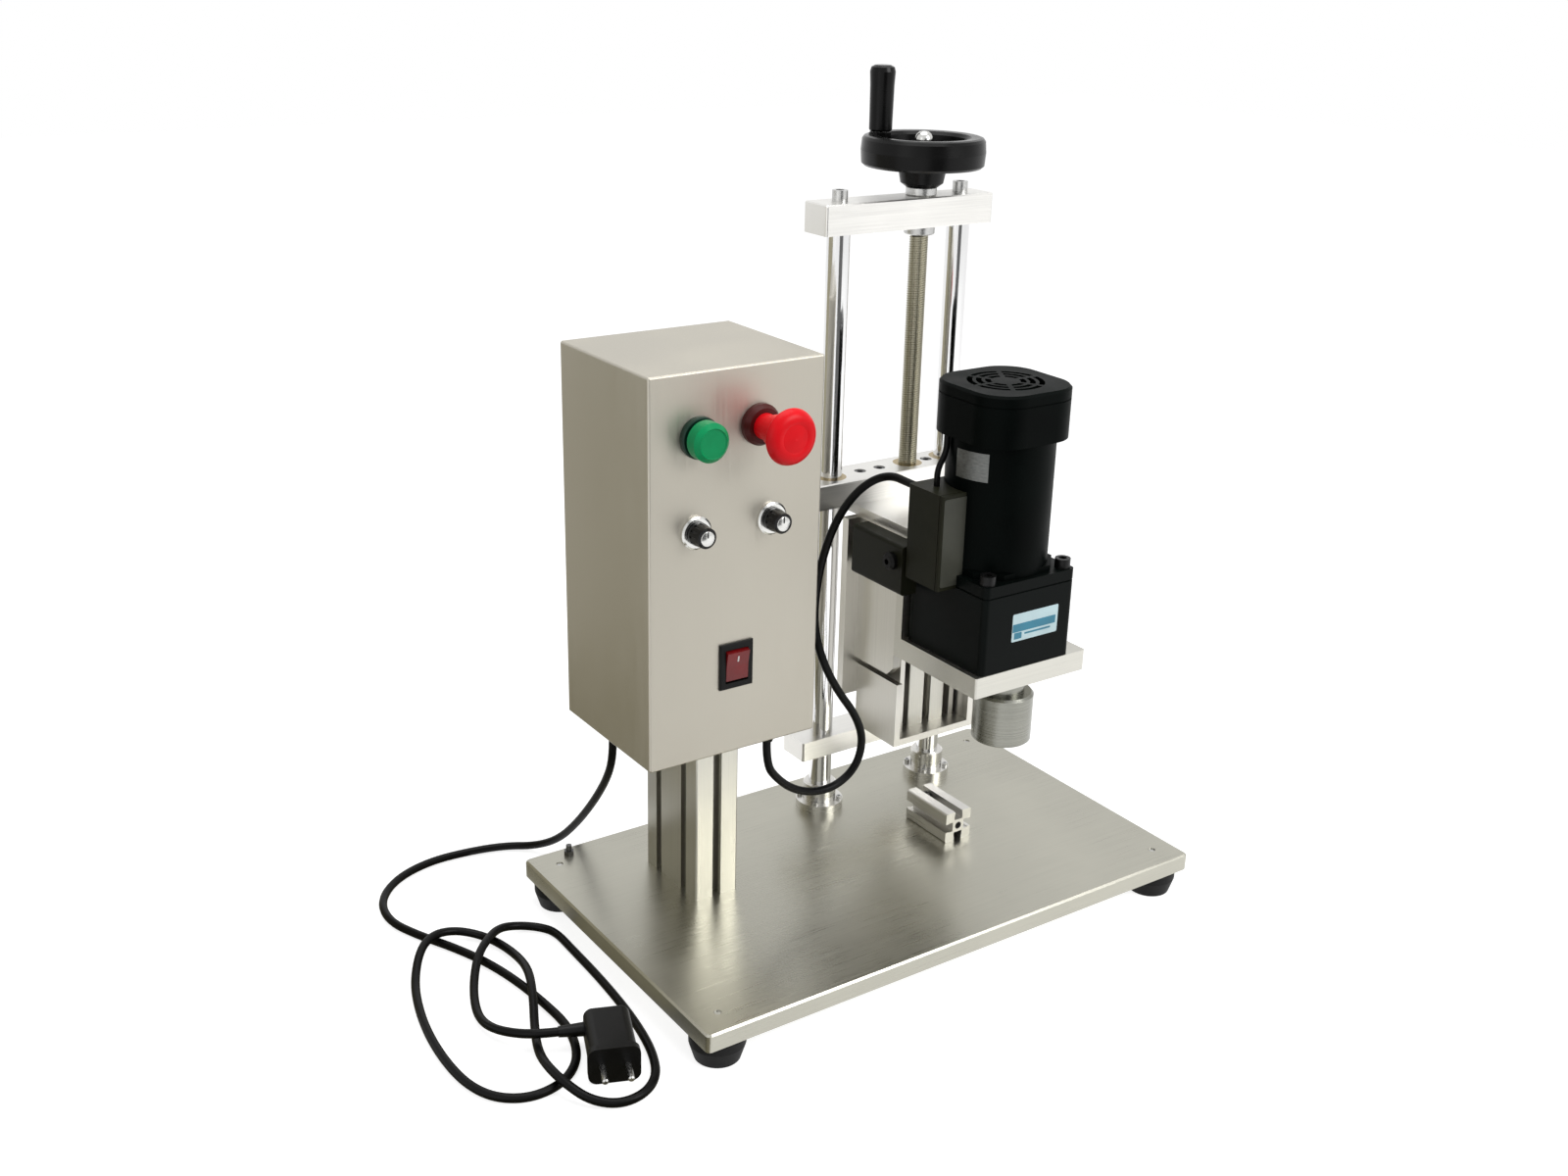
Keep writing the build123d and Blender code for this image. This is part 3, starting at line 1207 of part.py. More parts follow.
def chuck_body():
    """Steel cup that drives the cap, on a neck that takes the shaft."""
    top = chuck_top()
    shoulder = top - CHUCK_NECK_H
    mouth = shoulder - CHUCK_H
    cup = mouth + CHUCK_CUP_H
    r = CHUCK_D / 2
    body = turned([(0, cup), (CHUCK_CUP_D / 2, cup), (CHUCK_CUP_D / 2, mouth), (r - 1, mouth), (r, mouth + 1),
                   (r, shoulder - 2), (r - 2, shoulder), (CHUCK_NECK_D / 2, shoulder),
                   (CHUCK_NECK_D / 2, top - 1), (CHUCK_NECK_D / 2 - 1, top), (SHAFT_D / 2, top),
                   (SHAFT_D / 2, top - SHAFT_IN_CHUCK), (0, top - SHAFT_IN_CHUCK)])
    return put(body, GEAR_X, GEAR_Y - SHAFT_OFFSET)


def chuck_liner():
    """Tapered rubber ring that grips the cap."""
    mouth = chuck_top() - CHUCK_NECK_H - CHUCK_H
    liner = turned([(LINER_MOUTH_D / 2, mouth), (CHUCK_CUP_D / 2, mouth),
                    (CHUCK_CUP_D / 2, mouth + CHUCK_CUP_H), (LINER_ROOT_D / 2, mouth + CHUCK_CUP_H)])
    return put(liner, GEAR_X, GEAR_Y - SHAFT_OFFSET)


PARTS = {
    "base_plate": base_plate,
    "rubber_feet": rubber_feet,
    "foot_screws": foot_screws,
    "post_extrusion": post_extrusion,
    "post_bolts": post_bolts,
    "guide_rods": guide_rods,
    "rod_collars": rod_collars,
    "collar_screws": collar_screws,
    "head_bar": head_bar,
    "head_bolts": head_bolts,
    "cross_bar": cross_bar,
    "screw_bushes": screw_bushes,
    "bottle_stop": bottle_stop,
    "deck_fasteners": deck_fasteners,
    "control_box": control_box,
    "control_box_back": control_box_back,
    "mains_gland": mains_gland,
    "cable_gland": cable_gland,
    "button_bezel": button_bezel,
    "button_cap": button_cap,
    "stop_base": stop_base,
    "stop_stem": stop_stem,
    "stop_head": stop_head,
    "speed_pots": speed_pots,
    "knob_left": lambda: knob(KNOB_X[0]),
    "knob_right": lambda: knob(KNOB_X[1]),
    "rocker_frame": rocker_frame,
    "rocker_switch": rocker_switch,
    "lead_screw": lead_screw,
    "screw_collars": screw_collars,
    "handwheel": handwheel,
    "wheel_nut": wheel_nut,
    "crank_pin": crank_pin,
    "crank_grip": crank_grip,
    "upper_block": upper_block,
    "carriage_screws": carriage_screws,
    "rod_bushes": rod_bushes,
    "lead_nut": lead_nut,
    "arm_plate": arm_plate,
    "back_plate": back_plate,
    "cheek_plates": cheek_plates,
    "slide_column": slide_column,
    "guide_strips": guide_strips,
    "guide_box": guide_box,
    "motor_bracket": motor_bracket,
    "gearhead": gearhead,
    "gear_bolts": gear_bolts,
    "motor_body": motor_body,
    "fan_cowl": fan_cowl,
    "terminal_box": terminal_box,
    "capacitor_box": capacitor_box,
    "capacitor_gland": capacitor_gland,
    "motor_lead": motor_lead,
    "motor_cable": motor_cable,
    "output_shaft": output_shaft,
    "chuck_body": chuck_body,
    "chuck_liner": chuck_liner,
    "mains_cord": mains_cord,
    "mains_plug": mains_plug,
    "plug_pins": plug_pins,
}

os.makedirs("parts", exist_ok=True)
for part_name, make in PARTS.items():
    export_step(make(), "parts/" + part_name + ".step")
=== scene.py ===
import math

import bmesh
import bpy
from mathutils import Matrix, Vector


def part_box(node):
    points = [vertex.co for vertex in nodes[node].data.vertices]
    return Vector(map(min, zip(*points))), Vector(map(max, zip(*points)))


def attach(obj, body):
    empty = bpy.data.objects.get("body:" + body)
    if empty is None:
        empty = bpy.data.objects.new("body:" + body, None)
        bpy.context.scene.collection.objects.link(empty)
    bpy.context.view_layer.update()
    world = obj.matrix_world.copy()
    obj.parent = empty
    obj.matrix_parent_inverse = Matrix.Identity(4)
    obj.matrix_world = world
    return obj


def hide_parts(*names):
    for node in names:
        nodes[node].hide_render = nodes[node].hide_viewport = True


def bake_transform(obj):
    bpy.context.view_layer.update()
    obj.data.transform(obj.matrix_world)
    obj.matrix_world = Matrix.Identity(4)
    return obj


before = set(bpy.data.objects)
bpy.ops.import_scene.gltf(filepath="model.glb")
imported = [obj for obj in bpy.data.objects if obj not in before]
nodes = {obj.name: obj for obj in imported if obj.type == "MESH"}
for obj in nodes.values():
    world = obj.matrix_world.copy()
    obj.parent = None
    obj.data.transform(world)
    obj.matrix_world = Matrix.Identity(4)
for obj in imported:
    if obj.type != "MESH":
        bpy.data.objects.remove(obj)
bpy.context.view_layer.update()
MM = 0.001
DECK = 0.037


# Helpers
def link(obj):
    bpy.context.scene.collection.objects.link(obj)
    return obj


def mesh_object(name, verts, faces, smooth=False):
    mesh = bpy.data.meshes.new(name)
    mesh.from_pydata(verts, [], faces)
    mesh.update()
    for face in mesh.polygons:
        face.use_smooth = smooth
    return link(bpy.data.objects.new(name, mesh))


def lathe(name, profile, steps, origin, matrix=None):
    """A closed turned piece from (radius, height) points in millimetres."""
    verts = []
    faces = []
    for r, z in profile:
        for i in range(steps):
            a = 2 * math.pi * i / steps
            verts.append((r * math.cos(a) * MM, r * math.sin(a) * MM, z * MM))
    n = len(profile)
    for k in range(n - 1):
        for i in range(steps):
            j = (i + 1) % steps
            faces.append((k * steps + i, k * steps + j, (k + 1) * steps + j, (k + 1) * steps + i))
    obj = mesh_object(name, verts, faces, smooth=True)
    bm = bmesh.new()
    bm.from_mesh(obj.data)
    bmesh.ops.remove_doubles(bm, verts=bm.verts, dist=1e-6)
    bmesh.ops.holes_fill(bm, edges=[e for e in bm.edges if e.is_boundary])
    bmesh.ops.recalc_face_normals(bm, faces=bm.faces)
    bm.to_mesh(obj.data)
    bm.free()
    obj.data.transform((matrix or Matrix.Identity(4)))
    obj.data.transform(Matrix.Translation(Vector(origin)))
    return obj


def plate(name, size, matrix, radius=0.8, bevel=0.15):
    """A thin plate with rounded corners, in millimetres, its face along +Z of matrix."""
    w, h, t = size
    bm = bmesh.new()
    corners = []
    steps = 5
    for sx, sy, start in ((1, 1, 0), (-1, 1, 90), (-1, -1, 180), (1, -1, 270)):
        for i in range(steps + 1):
            a = math.radians(start + 90 * i / steps)
            corners.append((sx * (w / 2 - radius) + radius * math.cos(a),
                            sy * (h / 2 - radius) + radius * math.sin(a)))
    low = [bm.verts.new((x * MM, y * MM, 0)) for x, y in corners]
    bm.faces.new(list(reversed(low)))
    top = [bm.verts.new((x * MM, y * MM, t * MM)) for x, y in corners]
    cap = bm.faces.new(top)
    n = len(low)
    for i in range(n):
        bm.faces.new((low[i], low[(i + 1) % n], top[(i + 1) % n], top[i]))
    bmesh.ops.bevel(bm, geom=list(cap.edges), offset=bevel * MM, segments=2, affect="EDGES")
    bmesh.ops.recalc_face_normals(bm, faces=bm.faces)
    mesh = bpy.data.meshes.new(name)
    bm.to_mesh(mesh)
    bm.free()
    mesh.transform(matrix)
    return link(bpy.data.objects.new(name, mesh))


def facing_front(x, y, z):
    """Local +Z points out along -Y, local +X stays +X."""
    m = Matrix(((1, 0, 0, x * MM), (0, 0, -1, y * MM), (0, 1, 0, z * MM), (0, 0, 0, 1)))
    return m


# Camera, solved from the photograph
YAW = math.radians(34.798)
PITCH = math.radians(21.089)
ROLL = math.radians(1.444)
camera_data = bpy.data.cameras.new("camera")
camera_data.sensor_width = 36.0
camera_data.lens = 39.11
camera_data.clip_start = 0.05
camera_data.clip_end = 50.0
camera = link(bpy.data.objects.new("camera", camera_data))
forward = Vector((math.sin(YAW) * math.cos(PITCH), math.cos(YAW) * math.cos(PITCH), -math.sin(PITCH)))
right = Vector((math.cos(YAW), -math.sin(YAW), 0.0))
up = right.cross(forward)
right_rolled = math.cos(ROLL) * right + math.sin(ROLL) * up
up_rolled = math.cos(ROLL) * up - math.sin(ROLL) * right
turn = Matrix((right_rolled, up_rolled, -forward)).transposed().to_4x4()
camera.matrix_world = Matrix.Translation((-0.804465, -1.030278, 0.789977)) @ turn
bpy.context.scene.camera = camera
bpy.context.scene.view_settings.view_transform = "Standard"


# Free cords. The points are the part's own, in millimetres above the table
CORD_D = 7 * MM
LAY = 3.6
HOP = 12.0
MAINS = [
    (-190.0, 98.0, 162.0), (-190.0, 98.0, 144.0), (-188.0, 111.0, 118.0), (-188.0, 134.0, 86.0),
    (-190.0, 164.0, 50.0), (-195.0, 193.0, 20.0), (-207.0, 217.0, LAY + 1.5), (-229.0, 234.0, LAY),
    (-262.0, 242.0, LAY), (-300.0, 244.0, LAY), (-336.0, 231.0, LAY), (-361.0, 204.0, LAY),
    (-367.0, 170.0, LAY), (-355.0, 138.0, LAY), (-338.0, 106.0, LAY), (-324.0, 72.0, LAY),
    (-315.0, 35.0, LAY), (-310.0, -4.0, LAY), (-308.0, -40.0, LAY), (-316.0, -72.0, LAY),
    (-330.0, -92.0, LAY), (-350.0, -103.0, LAY), (-373.0, -103.0, LAY), (-392.0, -90.0, LAY),
    (-402.0, -68.0, LAY), (-405.0, -38.0, LAY), (-403.0, 0.0, LAY), (-396.0, 38.0, LAY),
    (-384.0, 76.0, LAY), (-367.0, 104.0, HOP), (-349.0, 119.0, HOP + 0.4), (-329.0, 121.0, LAY + 5.0),
    (-312.0, 110.0, LAY + 1.0), (-303.0, 91.0, LAY), (-300.0, 64.0, LAY + 2.0), (-305.0, 32.0, HOP),
    (-317.0, 0.0, HOP), (-331.0, -30.0, LAY + 0.5), (-343.0, -60.0, LAY + 2.0), (-349.0, -88.0, HOP),
    (-347.0, -113.0, HOP), (-338.0, -132.0, LAY + 3.0), (-321.0, -144.0, LAY), (-300.0, -144.0, LAY),
    (-282.0, -131.0, LAY), (-271.0, -107.0, LAY), (-264.0, -76.0, LAY), (-259.5, -38.0, LAY),
    (-257.0, 6.0, LAY), (-256.5, 50.0, LAY), (-256.0, 81.6, LAY), (-265.0, 96.2, LAY),
    (-280.6, 103.7, LAY + 2.5), (-297.7, 101.9, LAY + 7.0), (-314.0, 89.0, HOP + 0.6),
    (-331.0, 71.0, HOP + 0.6), (-345.0, 49.0, LAY + 3.0), (-356.0, 24.0, LAY), (-362.0, 0.0, LAY + 1.0),
    (-360.0, -22.0, LAY + 5.0), (-350.0, -41.0, 12.5), (-338.0, -53.0, 15.0), (-325.0, -58.2, 15.0),
]
CABLE = [
    (38.0, -13.0, 371.0), (38.0, 8.0, 371.0), (35.0, 26.0, 373.0), (25.0, 39.0, 367.0),
    (10.0, 46.0, 353.0), (-6.0, 47.0, 332.0), (-21.0, 42.0, 307.0), (-33.0, 34.0, 280.0),
    (-40.0, 25.0, 253.0), (-36.0, 17.0, 225.0), (-21.0, 14.0, 195.0), (-3.0, 12.0, 170.0),
    (6.0, 11.0, 145.0), (-1.0, 10.0, 121.0), (-21.0, 10.0, 108.0), (-45.0, 10.0, 108.0),
    (-67.0, 10.0, 117.0), (-84.0, 10.0, 132.0), (-95.0, 10.0, 148.0), (-95.0, 10.0, 170.0),
]


def swept_cord(name, points, diameter):
    """A round tube along an open NURBS spline through those control points, and the spline's own line."""
    data = bpy.data.curves.new(name + "_route", "CURVE")
    data.dimensions = "3D"
    spline = data.splines.new("NURBS")
    spline.points.add(len(points) - 1)
    for p, (x, y, z) in zip(spline.points, points):
        p.co = (x * MM, y * MM, z * MM, 1.0)
    spline.order_u = 3
    spline.use_endpoint_u = True
    spline.resolution_u = 6
    route = link(bpy.data.objects.new(name + "_route", data))
    bpy.context.view_layer.update()
    bare = bpy.data.meshes.new_from_object(route)
    line = [tuple(v.co) for v in bare.vertices]
    bpy.data.meshes.remove(bare)
    data.bevel_depth = diameter / 2
    data.bevel_resolution = 5
    data.use_fill_caps = True
    bpy.context.view_layer.update()
    tube = bpy.data.meshes.new_from_object(route)
    bpy.data.objects.remove(route)
    for face in tube.polygons:
        face.use_smooth = True
    return link(bpy.data.objects.new(name, tube)), line


mains, mains_line = swept_cord("mains_lead", MAINS, CORD_D)
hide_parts("mains_cord")
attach(mains, "frame")

cable, cable_line = swept_cord("control_cable", CABLE, CORD_D)
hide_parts("motor_cable")


# Materials
def new_material(name):
    mat = bpy.data.materials.new(name)
    mat.use_nodes = True
    tree = mat.node_tree
    shader = tree.nodes["Principled BSDF"]
    return mat, tree, shader


def noise(tree, scale, detail=4.0, stretch=(1, 1, 1), roughness=0.55):
    coords = tree.nodes.new("ShaderNodeTexCoord")
    mapping = tree.nodes.new("ShaderNodeMapping")
    mapping.inputs["Scale"].default_value = stretch
    texture = tree.nodes.new("ShaderNodeTexNoise")
    texture.inputs["Scale"].default_value = scale
    texture.inputs["Detail"].default_value = detail
    texture.inputs["Roughness"].default_value = roughness
    tree.links.new(coords.outputs["Object"], mapping.inputs["Vector"])
    tree.links.new(mapping.outputs["Vector"], texture.inputs["Vector"])
    return texture.outputs["Fac"]


def spread(tree, value, low, high, from_low=0.3, from_high=0.7):
    ranged = tree.nodes.new("ShaderNodeMapRange")
    ranged.inputs["From Min"].default_value = from_low
    ranged.inputs["From Max"].default_value = from_high
    ranged.inputs["To Min"].default_value = low
    ranged.inputs["To Max"].default_value = high
    tree.links.new(value, ranged.inputs["Value"])
    return ranged.outputs["Result"]


def ramp(tree, value, dark, light, from_low=0.3, from_high=0.7):
    mix = tree.nodes.new("ShaderNodeMix")
    mix.data_type = "RGBA"
    mix.inputs[6].default_value = (*dark, 1)
    mix.inputs[7].default_value = (*light, 1)
    tree.links.new(spread(tree, value, 0.0, 1.0, from_low, from_high), mix.inputs[0])
    return mix.outputs[2]


def bump(tree, shader, value, strength, distance):
    node = tree.nodes.new("ShaderNodeBump")
    node.inputs["Strength"].default_value = strength
    node.inputs["Distance"].default_value = distance
    tree.links.new(value, node.inputs["Height"])
    previous = shader.inputs["Normal"].links
    if previous:
        tree.links.new(previous[0].from_socket, node.inputs["Normal"])
    tree.links.new(node.outputs["Normal"], shader.inputs["Normal"])


def shade(colour, k):
    return tuple(min(1.0, c * k) for c in colour)


def brushed(name, colour, roughness, grain, depth=0.06, contrast=0.09, smudge=0.06):
    """Metal with a fine grain along one axis and faint larger clouds."""
    mat, tree, shader = new_material(name)
    shader.inputs["Metallic"].default_value = 1.0
    streaks = noise(tree, 1.0, 3.0, grain)
    clouds = noise(tree, 9.0, 3.0)
    base = ramp(tree, streaks, shade(colour, 1 - contrast), shade(colour, 1 + contrast))
    tint = tree.nodes.new("ShaderNodeMix")
    tint.data_type = "RGBA"
    tint.blend_type = "MULTIPLY"
    tint.inputs[0].default_value = 1.0
    tree.links.new(base, tint.inputs[6])
    tree.links.new(ramp(tree, clouds, (1 - smudge,) * 3, (1.0,) * 3), tint.inputs[7])
    tree.links.new(tint.outputs[2], shader.inputs["Base Color"])
    rough = tree.nodes.new("ShaderNodeMath")
    rough.operation = "ADD"
    tree.links.new(spread(tree, streaks, -0.06, 0.06), rough.inputs[0])
    tree.links.new(spread(tree, clouds, roughness - 0.04, roughness + 0.05), rough.inputs[1])
    tree.links.new(rough.outputs[0], shader.inputs["Roughness"])
    bump(tree, shader, streaks, depth, 0.0004)
    return mat


def coated(name, colour, roughness, lift=1.5, grain=900.0, depth=0.12, coat=0.0, gloss=0.5):
    """Paint or moulded plastic with a fine skin texture and faint wear."""
    mat, tree, shader = new_material(name)
    shader.inputs["Specular IOR Level"].default_value = gloss
    shader.inputs["Coat Weight"].default_value = coat
    shader.inputs["Coat Roughness"].default_value = 0.15
    fine = noise(tree, grain, 2.0)
    clouds = noise(tree, 22.0, 5.0)
    tree.links.new(ramp(tree, clouds, shade(colour, 0.8), shade(colour, lift), 0.35, 0.75),
                   shader.inputs["Base Color"])
    tree.links.new(spread(tree, clouds, roughness - 0.05, roughness + 0.08), shader.inputs["Roughness"])
    bump(tree, shader, fine, depth, 0.0003)
    return mat


STAINLESS = (0.47, 0.445, 0.385)
ALU = (0.58, 0.565, 0.52)
ALONG_X = (12, 1400, 1400)
ALONG_Y = (1400, 12, 1400)
ALONG_Z = (1400, 1400, 12)
TURNED = (14, 14, 1500)

box_steel = brushed("box_stainless", STAINLESS, 0.45, (900, 900, 9), depth=0.02, contrast=0.028, smudge=0.04)
back_steel = brushed("back_stainless", STAINLESS, 0.42, (900, 900, 9), depth=0.02, contrast=0.03)
base_alu = brushed("base_plate_aluminium", (0.46, 0.45, 0.39), 0.31, ALONG_X, contrast=0.05, smudge=0.1)
post_alu = brushed("post_anodised", (0.56, 0.55, 0.50), 0.36, (900, 900, 8), contrast=0.05)
stop_alu = brushed("stop_anodised", (0.66, 0.65, 0.62), 0.33, (900, 8, 900), contrast=0.05)
milled = brushed("milled_bright", (0.78, 0.77, 0.74), 0.34, ALONG_X, contrast=0.05)
carriage_alu = brushed("carriage_plate", (0.66, 0.645, 0.60), 0.36, ALONG_Z, contrast=0.05)
bracket_alu = brushed("bracket_plate", (0.58, 0.57, 0.52), 0.34, ALONG_X, contrast=0.05)
collar_steel = brushed("collar_steel", (0.68, 0.67, 0.64), 0.24, TURNED, contrast=0.05)
chrome = brushed("rod_chrome", (0.80, 0.80, 0.80), 0.10, (500, 500, 20), depth=0.01, contrast=0.03)
ring_chrome = brushed("ring_chrome", (0.62, 0.62, 0.60), 0.18, TURNED, depth=0.02, contrast=0.06)
steel = brushed("fastener_steel", (0.55, 0.55, 0.54), 0.28, (900, 900, 900), contrast=0.10)
bolt_black = coated("bolt_black", (0.004, 0.004, 0.004), 0.32, lift=1.8, grain=900.0, depth=0.08, gloss=0.2)
dark_steel = brushed("dark_fastener", (0.13, 0.13, 0.13), 0.35, (900, 900, 900), contrast=0.15)
chuck_steel = brushed("chuck_steel", (0.27, 0.27, 0.24), 0.30, TURNED, depth=0.06, contrast=0.16)
bronze = brushed("nut_bronze", (0.42, 0.33, 0.18), 0.32, TURNED, contrast=0.1)
screw_metal = brushed("screw_metal", (0.36, 0.34, 0.26), 0.34, (600, 600, 30), contrast=0.10)
motor_black = coated("motor_black", (0.0010, 0.0018, 0.0015), 0.42, lift=1.8, grain=650.0, depth=0.12, gloss=0.03)
gear_black = coated("gear_black", (0.0012, 0.0021, 0.0018), 0.38, lift=1.8, grain=600.0, depth=0.12, gloss=0.06)
wheel_black = coated("wheel_black", (0.0018, 0.0018, 0.0018), 0.24, lift=1.7, grain=500.0, depth=0.05, gloss=0.16)
box_olive = coated("terminal_olive", (0.013, 0.0135, 0.0075), 0.44, lift=1.4, grain=700.0, depth=0.15, gloss=0.10)
moulded = coated("moulded_black", (0.004, 0.004, 0.004), 0.38, lift=1.6, grain=1100.0, depth=0.08, gloss=0.14)
knob_black = coated("knob_black", (0.004, 0.004, 0.004), 0.25, lift=1.6, grain=1100.0, depth=0.06, gloss=0.25)
feet_rubber = coated("feet_rubber", (0.006, 0.006, 0.006), 0.62, lift=1.8, grain=800.0, depth=0.3, gloss=0.2)
liner_rubber = coated("liner_rubber", (0.020, 0.019, 0.018), 0.6, lift=1.5, grain=800.0, depth=0.3, gloss=0.25)
cord_black = coated("cord_black", (0.002, 0.002, 0.002), 0.36, lift=1.8, grain=1500.0, depth=0.05, gloss=0.13)
plug_black = coated("plug_black", (0.0035, 0.0035, 0.0035), 0.36, lift=1.7, grain=900.0, depth=0.1, gloss=0.18)
green = coated("button_green", (0.0, 0.24, 0.08), 0.30, lift=1.25, grain=500.0, depth=0.05, gloss=0.18)
dark_green = coated("bezel_dark_green", (0.003, 0.022, 0.013), 0.34, lift=1.5, grain=500.0, depth=0.05, gloss=0.25)
red = coated("stop_red", (0.78, 0.004, 0.010), 0.34, lift=1.15, grain=600.0, depth=0.05, gloss=0.16)
# The stop base's dark red is partly its own colour and partly painted shadow and painted reflection of the red head
# round the stop
dark_red = coated("stop_dark_red", (0.055, 0.004, 0.004), 0.38, lift=1.5, grain=600.0, depth=0.05, gloss=0.2)
rocker_red = coated("rocker_red", (0.13, 0.003, 0.004), 0.20, lift=1.6, grain=400.0, depth=0.05, gloss=0.4)
mark_white = coated("mark_white", (0.62, 0.60, 0.58), 0.4, lift=1.1)
label_blue = coated("label_blue", (0.022, 0.20, 0.30), 0.35, lift=1.3, grain=120.0, depth=0.03)
label_white = coated("label_white", (0.58, 0.76, 0.80), 0.32, lift=1.05, depth=0.03)
plate_silver = brushed("nameplate_silver", (0.15, 0.155, 0.15), 0.42, (260, 260, 900), contrast=0.22, smudge=0.15)
# The lid grey is lighter than the box olive: partly the lid's own grey, partly painted light standing for the light
# on the box's lit front face
lid_tone_and_painted_light = coated("lid_tone_and_painted_light", (0.045, 0.046, 0.036), 0.42, lift=1.3, grain=700.0, depth=0.12, gloss=0.25)

LOOKS = {
    base_alu: "base_plate",
    post_alu: "post_extrusion slide_column",
    stop_alu: "bottle_stop",
    box_steel: "control_box",
    back_steel: "control_box_back",
    milled: "head_bar cross_bar upper_block arm_plate",
    carriage_alu: "back_plate cheek_plates guide_box guide_strips",
    bracket_alu: "motor_bracket",
    collar_steel: "rod_collars",
    chrome: "guide_rods",
    ring_chrome: "speed_pots",
    steel: "foot_screws collar_screws head_bolts wheel_nut crank_pin screw_collars output_shaft "
           "plug_pins",
    dark_steel: "post_bolts deck_fasteners carriage_screws",
    bolt_black: "gear_bolts",
    chuck_steel: "chuck_body",
    bronze: "screw_bushes lead_nut rod_bushes",
    screw_metal: "lead_screw",
    motor_black: "motor_body fan_cowl",
    gear_black: "gearhead",
    wheel_black: "handwheel crank_grip",
    box_olive: "terminal_box capacitor_box",
    moulded: "mains_gland cable_gland capacitor_gland rocker_frame",
    knob_black: "knob_left knob_right",
    feet_rubber: "rubber_feet",
    liner_rubber: "chuck_liner",
    cord_black: "motor_cable mains_cord motor_lead",
    plug_black: "mains_plug",
    green: "button_cap",
    dark_green: "button_bezel",
    red: "stop_head stop_stem",
    dark_red: "stop_base",
    rocker_red: "rocker_switch",
}


def dress(obj, mat):
    if not obj.data.materials:
        obj.data.materials.append(mat)
    for i in range(len(obj.material_slots)):
        obj.material_slots[i].link = "OBJECT"
        obj.material_slots[i].material = mat


for mat, names in LOOKS.items():
    for name in names.split():
        dress(nodes[name], mat)
dress(mains, cord_black)
dress(cable, cord_black)
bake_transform(cable)


def ride(obj, body, mat):
    dress(obj, mat)
    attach(obj, body)
    return obj


# Lead screw with its thread
def threaded_bar(name, centre, z0, z1, outer, root, lead, starts=2, steps=36):
    """A trapezoidal thread of that many starts wound round a core, in millimetres."""
    profile = [(0.0, root), (0.22, root), (0.34, outer), (0.66, outer), (0.78, root)]
    rows = int((z1 - z0) / lead) * steps
    pitch = lead / starts
    width = len(profile)
    verts = []
    faces = []
    for start in range(starts):
        for k in range(rows + 1):
            a = 2 * math.pi * (k / steps + start / starts)
            z = z0 + lead * k / steps
            for share, radius in profile:
                verts.append(((centre[0] + radius * math.cos(a)) * MM, (centre[1] + radius * math.sin(a)) * MM,
                              min(z + share * pitch, z1) * MM))
    for start in range(starts):
        own = start * (rows + 1)
        # one pitch higher, the next start has come round to the same side
        other = ((start - 1) % starts) * (rows + 1) + steps // starts
        for k in range(rows):
            a = (own + k) * width
            for j in range(width - 1):
                faces.append((a + j, a + j + width, a + j + width + 1, a + j + 1))
            if k + steps // starts < rows:
                b = (other + k) * width
                faces.append((a + width - 1, a + 2 * width - 1, b + width, b))
    return mesh_object(name, verts, faces, smooth=False)


screw_low, screw_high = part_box("lead_screw")
thread_low = 1000 * screw_low[2] + 17.2
thread_high = DECK * 1000 + 525 - 7.1
thread = threaded_bar("thread", (109.0, 98.0), thread_low, thread_high, 8.0, 7.1, 4.0)
core = lathe("screw_core", [(0.0, 1000 * screw_low[2]), (6.0, 1000 * screw_low[2]), (6.0, thread_low),
                            (6.45, thread_low), (6.45, thread_high), (8.0, thread_high),
                            (8.0, DECK * 1000 + 557.1), (6.0, DECK * 1000 + 557.1),
                            (6.0, 1000 * screw_high[2] - 1), (5.0, 1000 * screw_high[2]),
                            (0.0, 1000 * screw_high[2])], 40, (0.109, 0.098, 0.0))
ride(core, "screw", screw_metal)
ride(thread, "screw", screw_metal)
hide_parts("lead_screw")

# Plates, lids and marks
gear_low, gear_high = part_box("gearhead")
label_z = 1000 * (gear_low[2] + gear_high[2]) / 2 - 2
label_x = 96.0
label_y = 1000 * gear_low[1]
label = plate("gear_label", (49, 24, 0.3), facing_front(label_x, label_y, label_z), radius=1.0, bevel=0.1)
ride(label, "carriage", label_white)
for name, dx, dz, w, h in (("band", -1.0, -0.3, 46.0, 7.0), ("block", -18.0, -7.2, 8.0, 5.5),
                           ("rule", 3.0, -6.4, 28.0, 1.6)):
    field = plate("gear_label_" + name, (w, h, 0.12), facing_front(label_x + dx, label_y - 0.3, label_z + dz),
                  radius=0.5, bevel=0.04)
    ride(field, "carriage", label_blue)

# The lid covers nearly the whole front face of the terminal box; its lighter grey is partly painted light, which
# makes the lit front face lighter than the olive sides
lid_low, lid_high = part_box("terminal_box")
lid = plate("terminal_lid", (1000 * (lid_high[0] - lid_low[0]) - 6, 1000 * (lid_high[2] - lid_low[2]) - 6, 0.4),
            facing_front(1000 * (lid_low[0] + lid_high[0]) / 2 - 1, 1000 * lid_low[1],
                         1000 * (lid_low[2] + lid_high[2]) / 2), radius=2.0, bevel=0.2)
ride(lid, "carriage", lid_tone_and_painted_light)

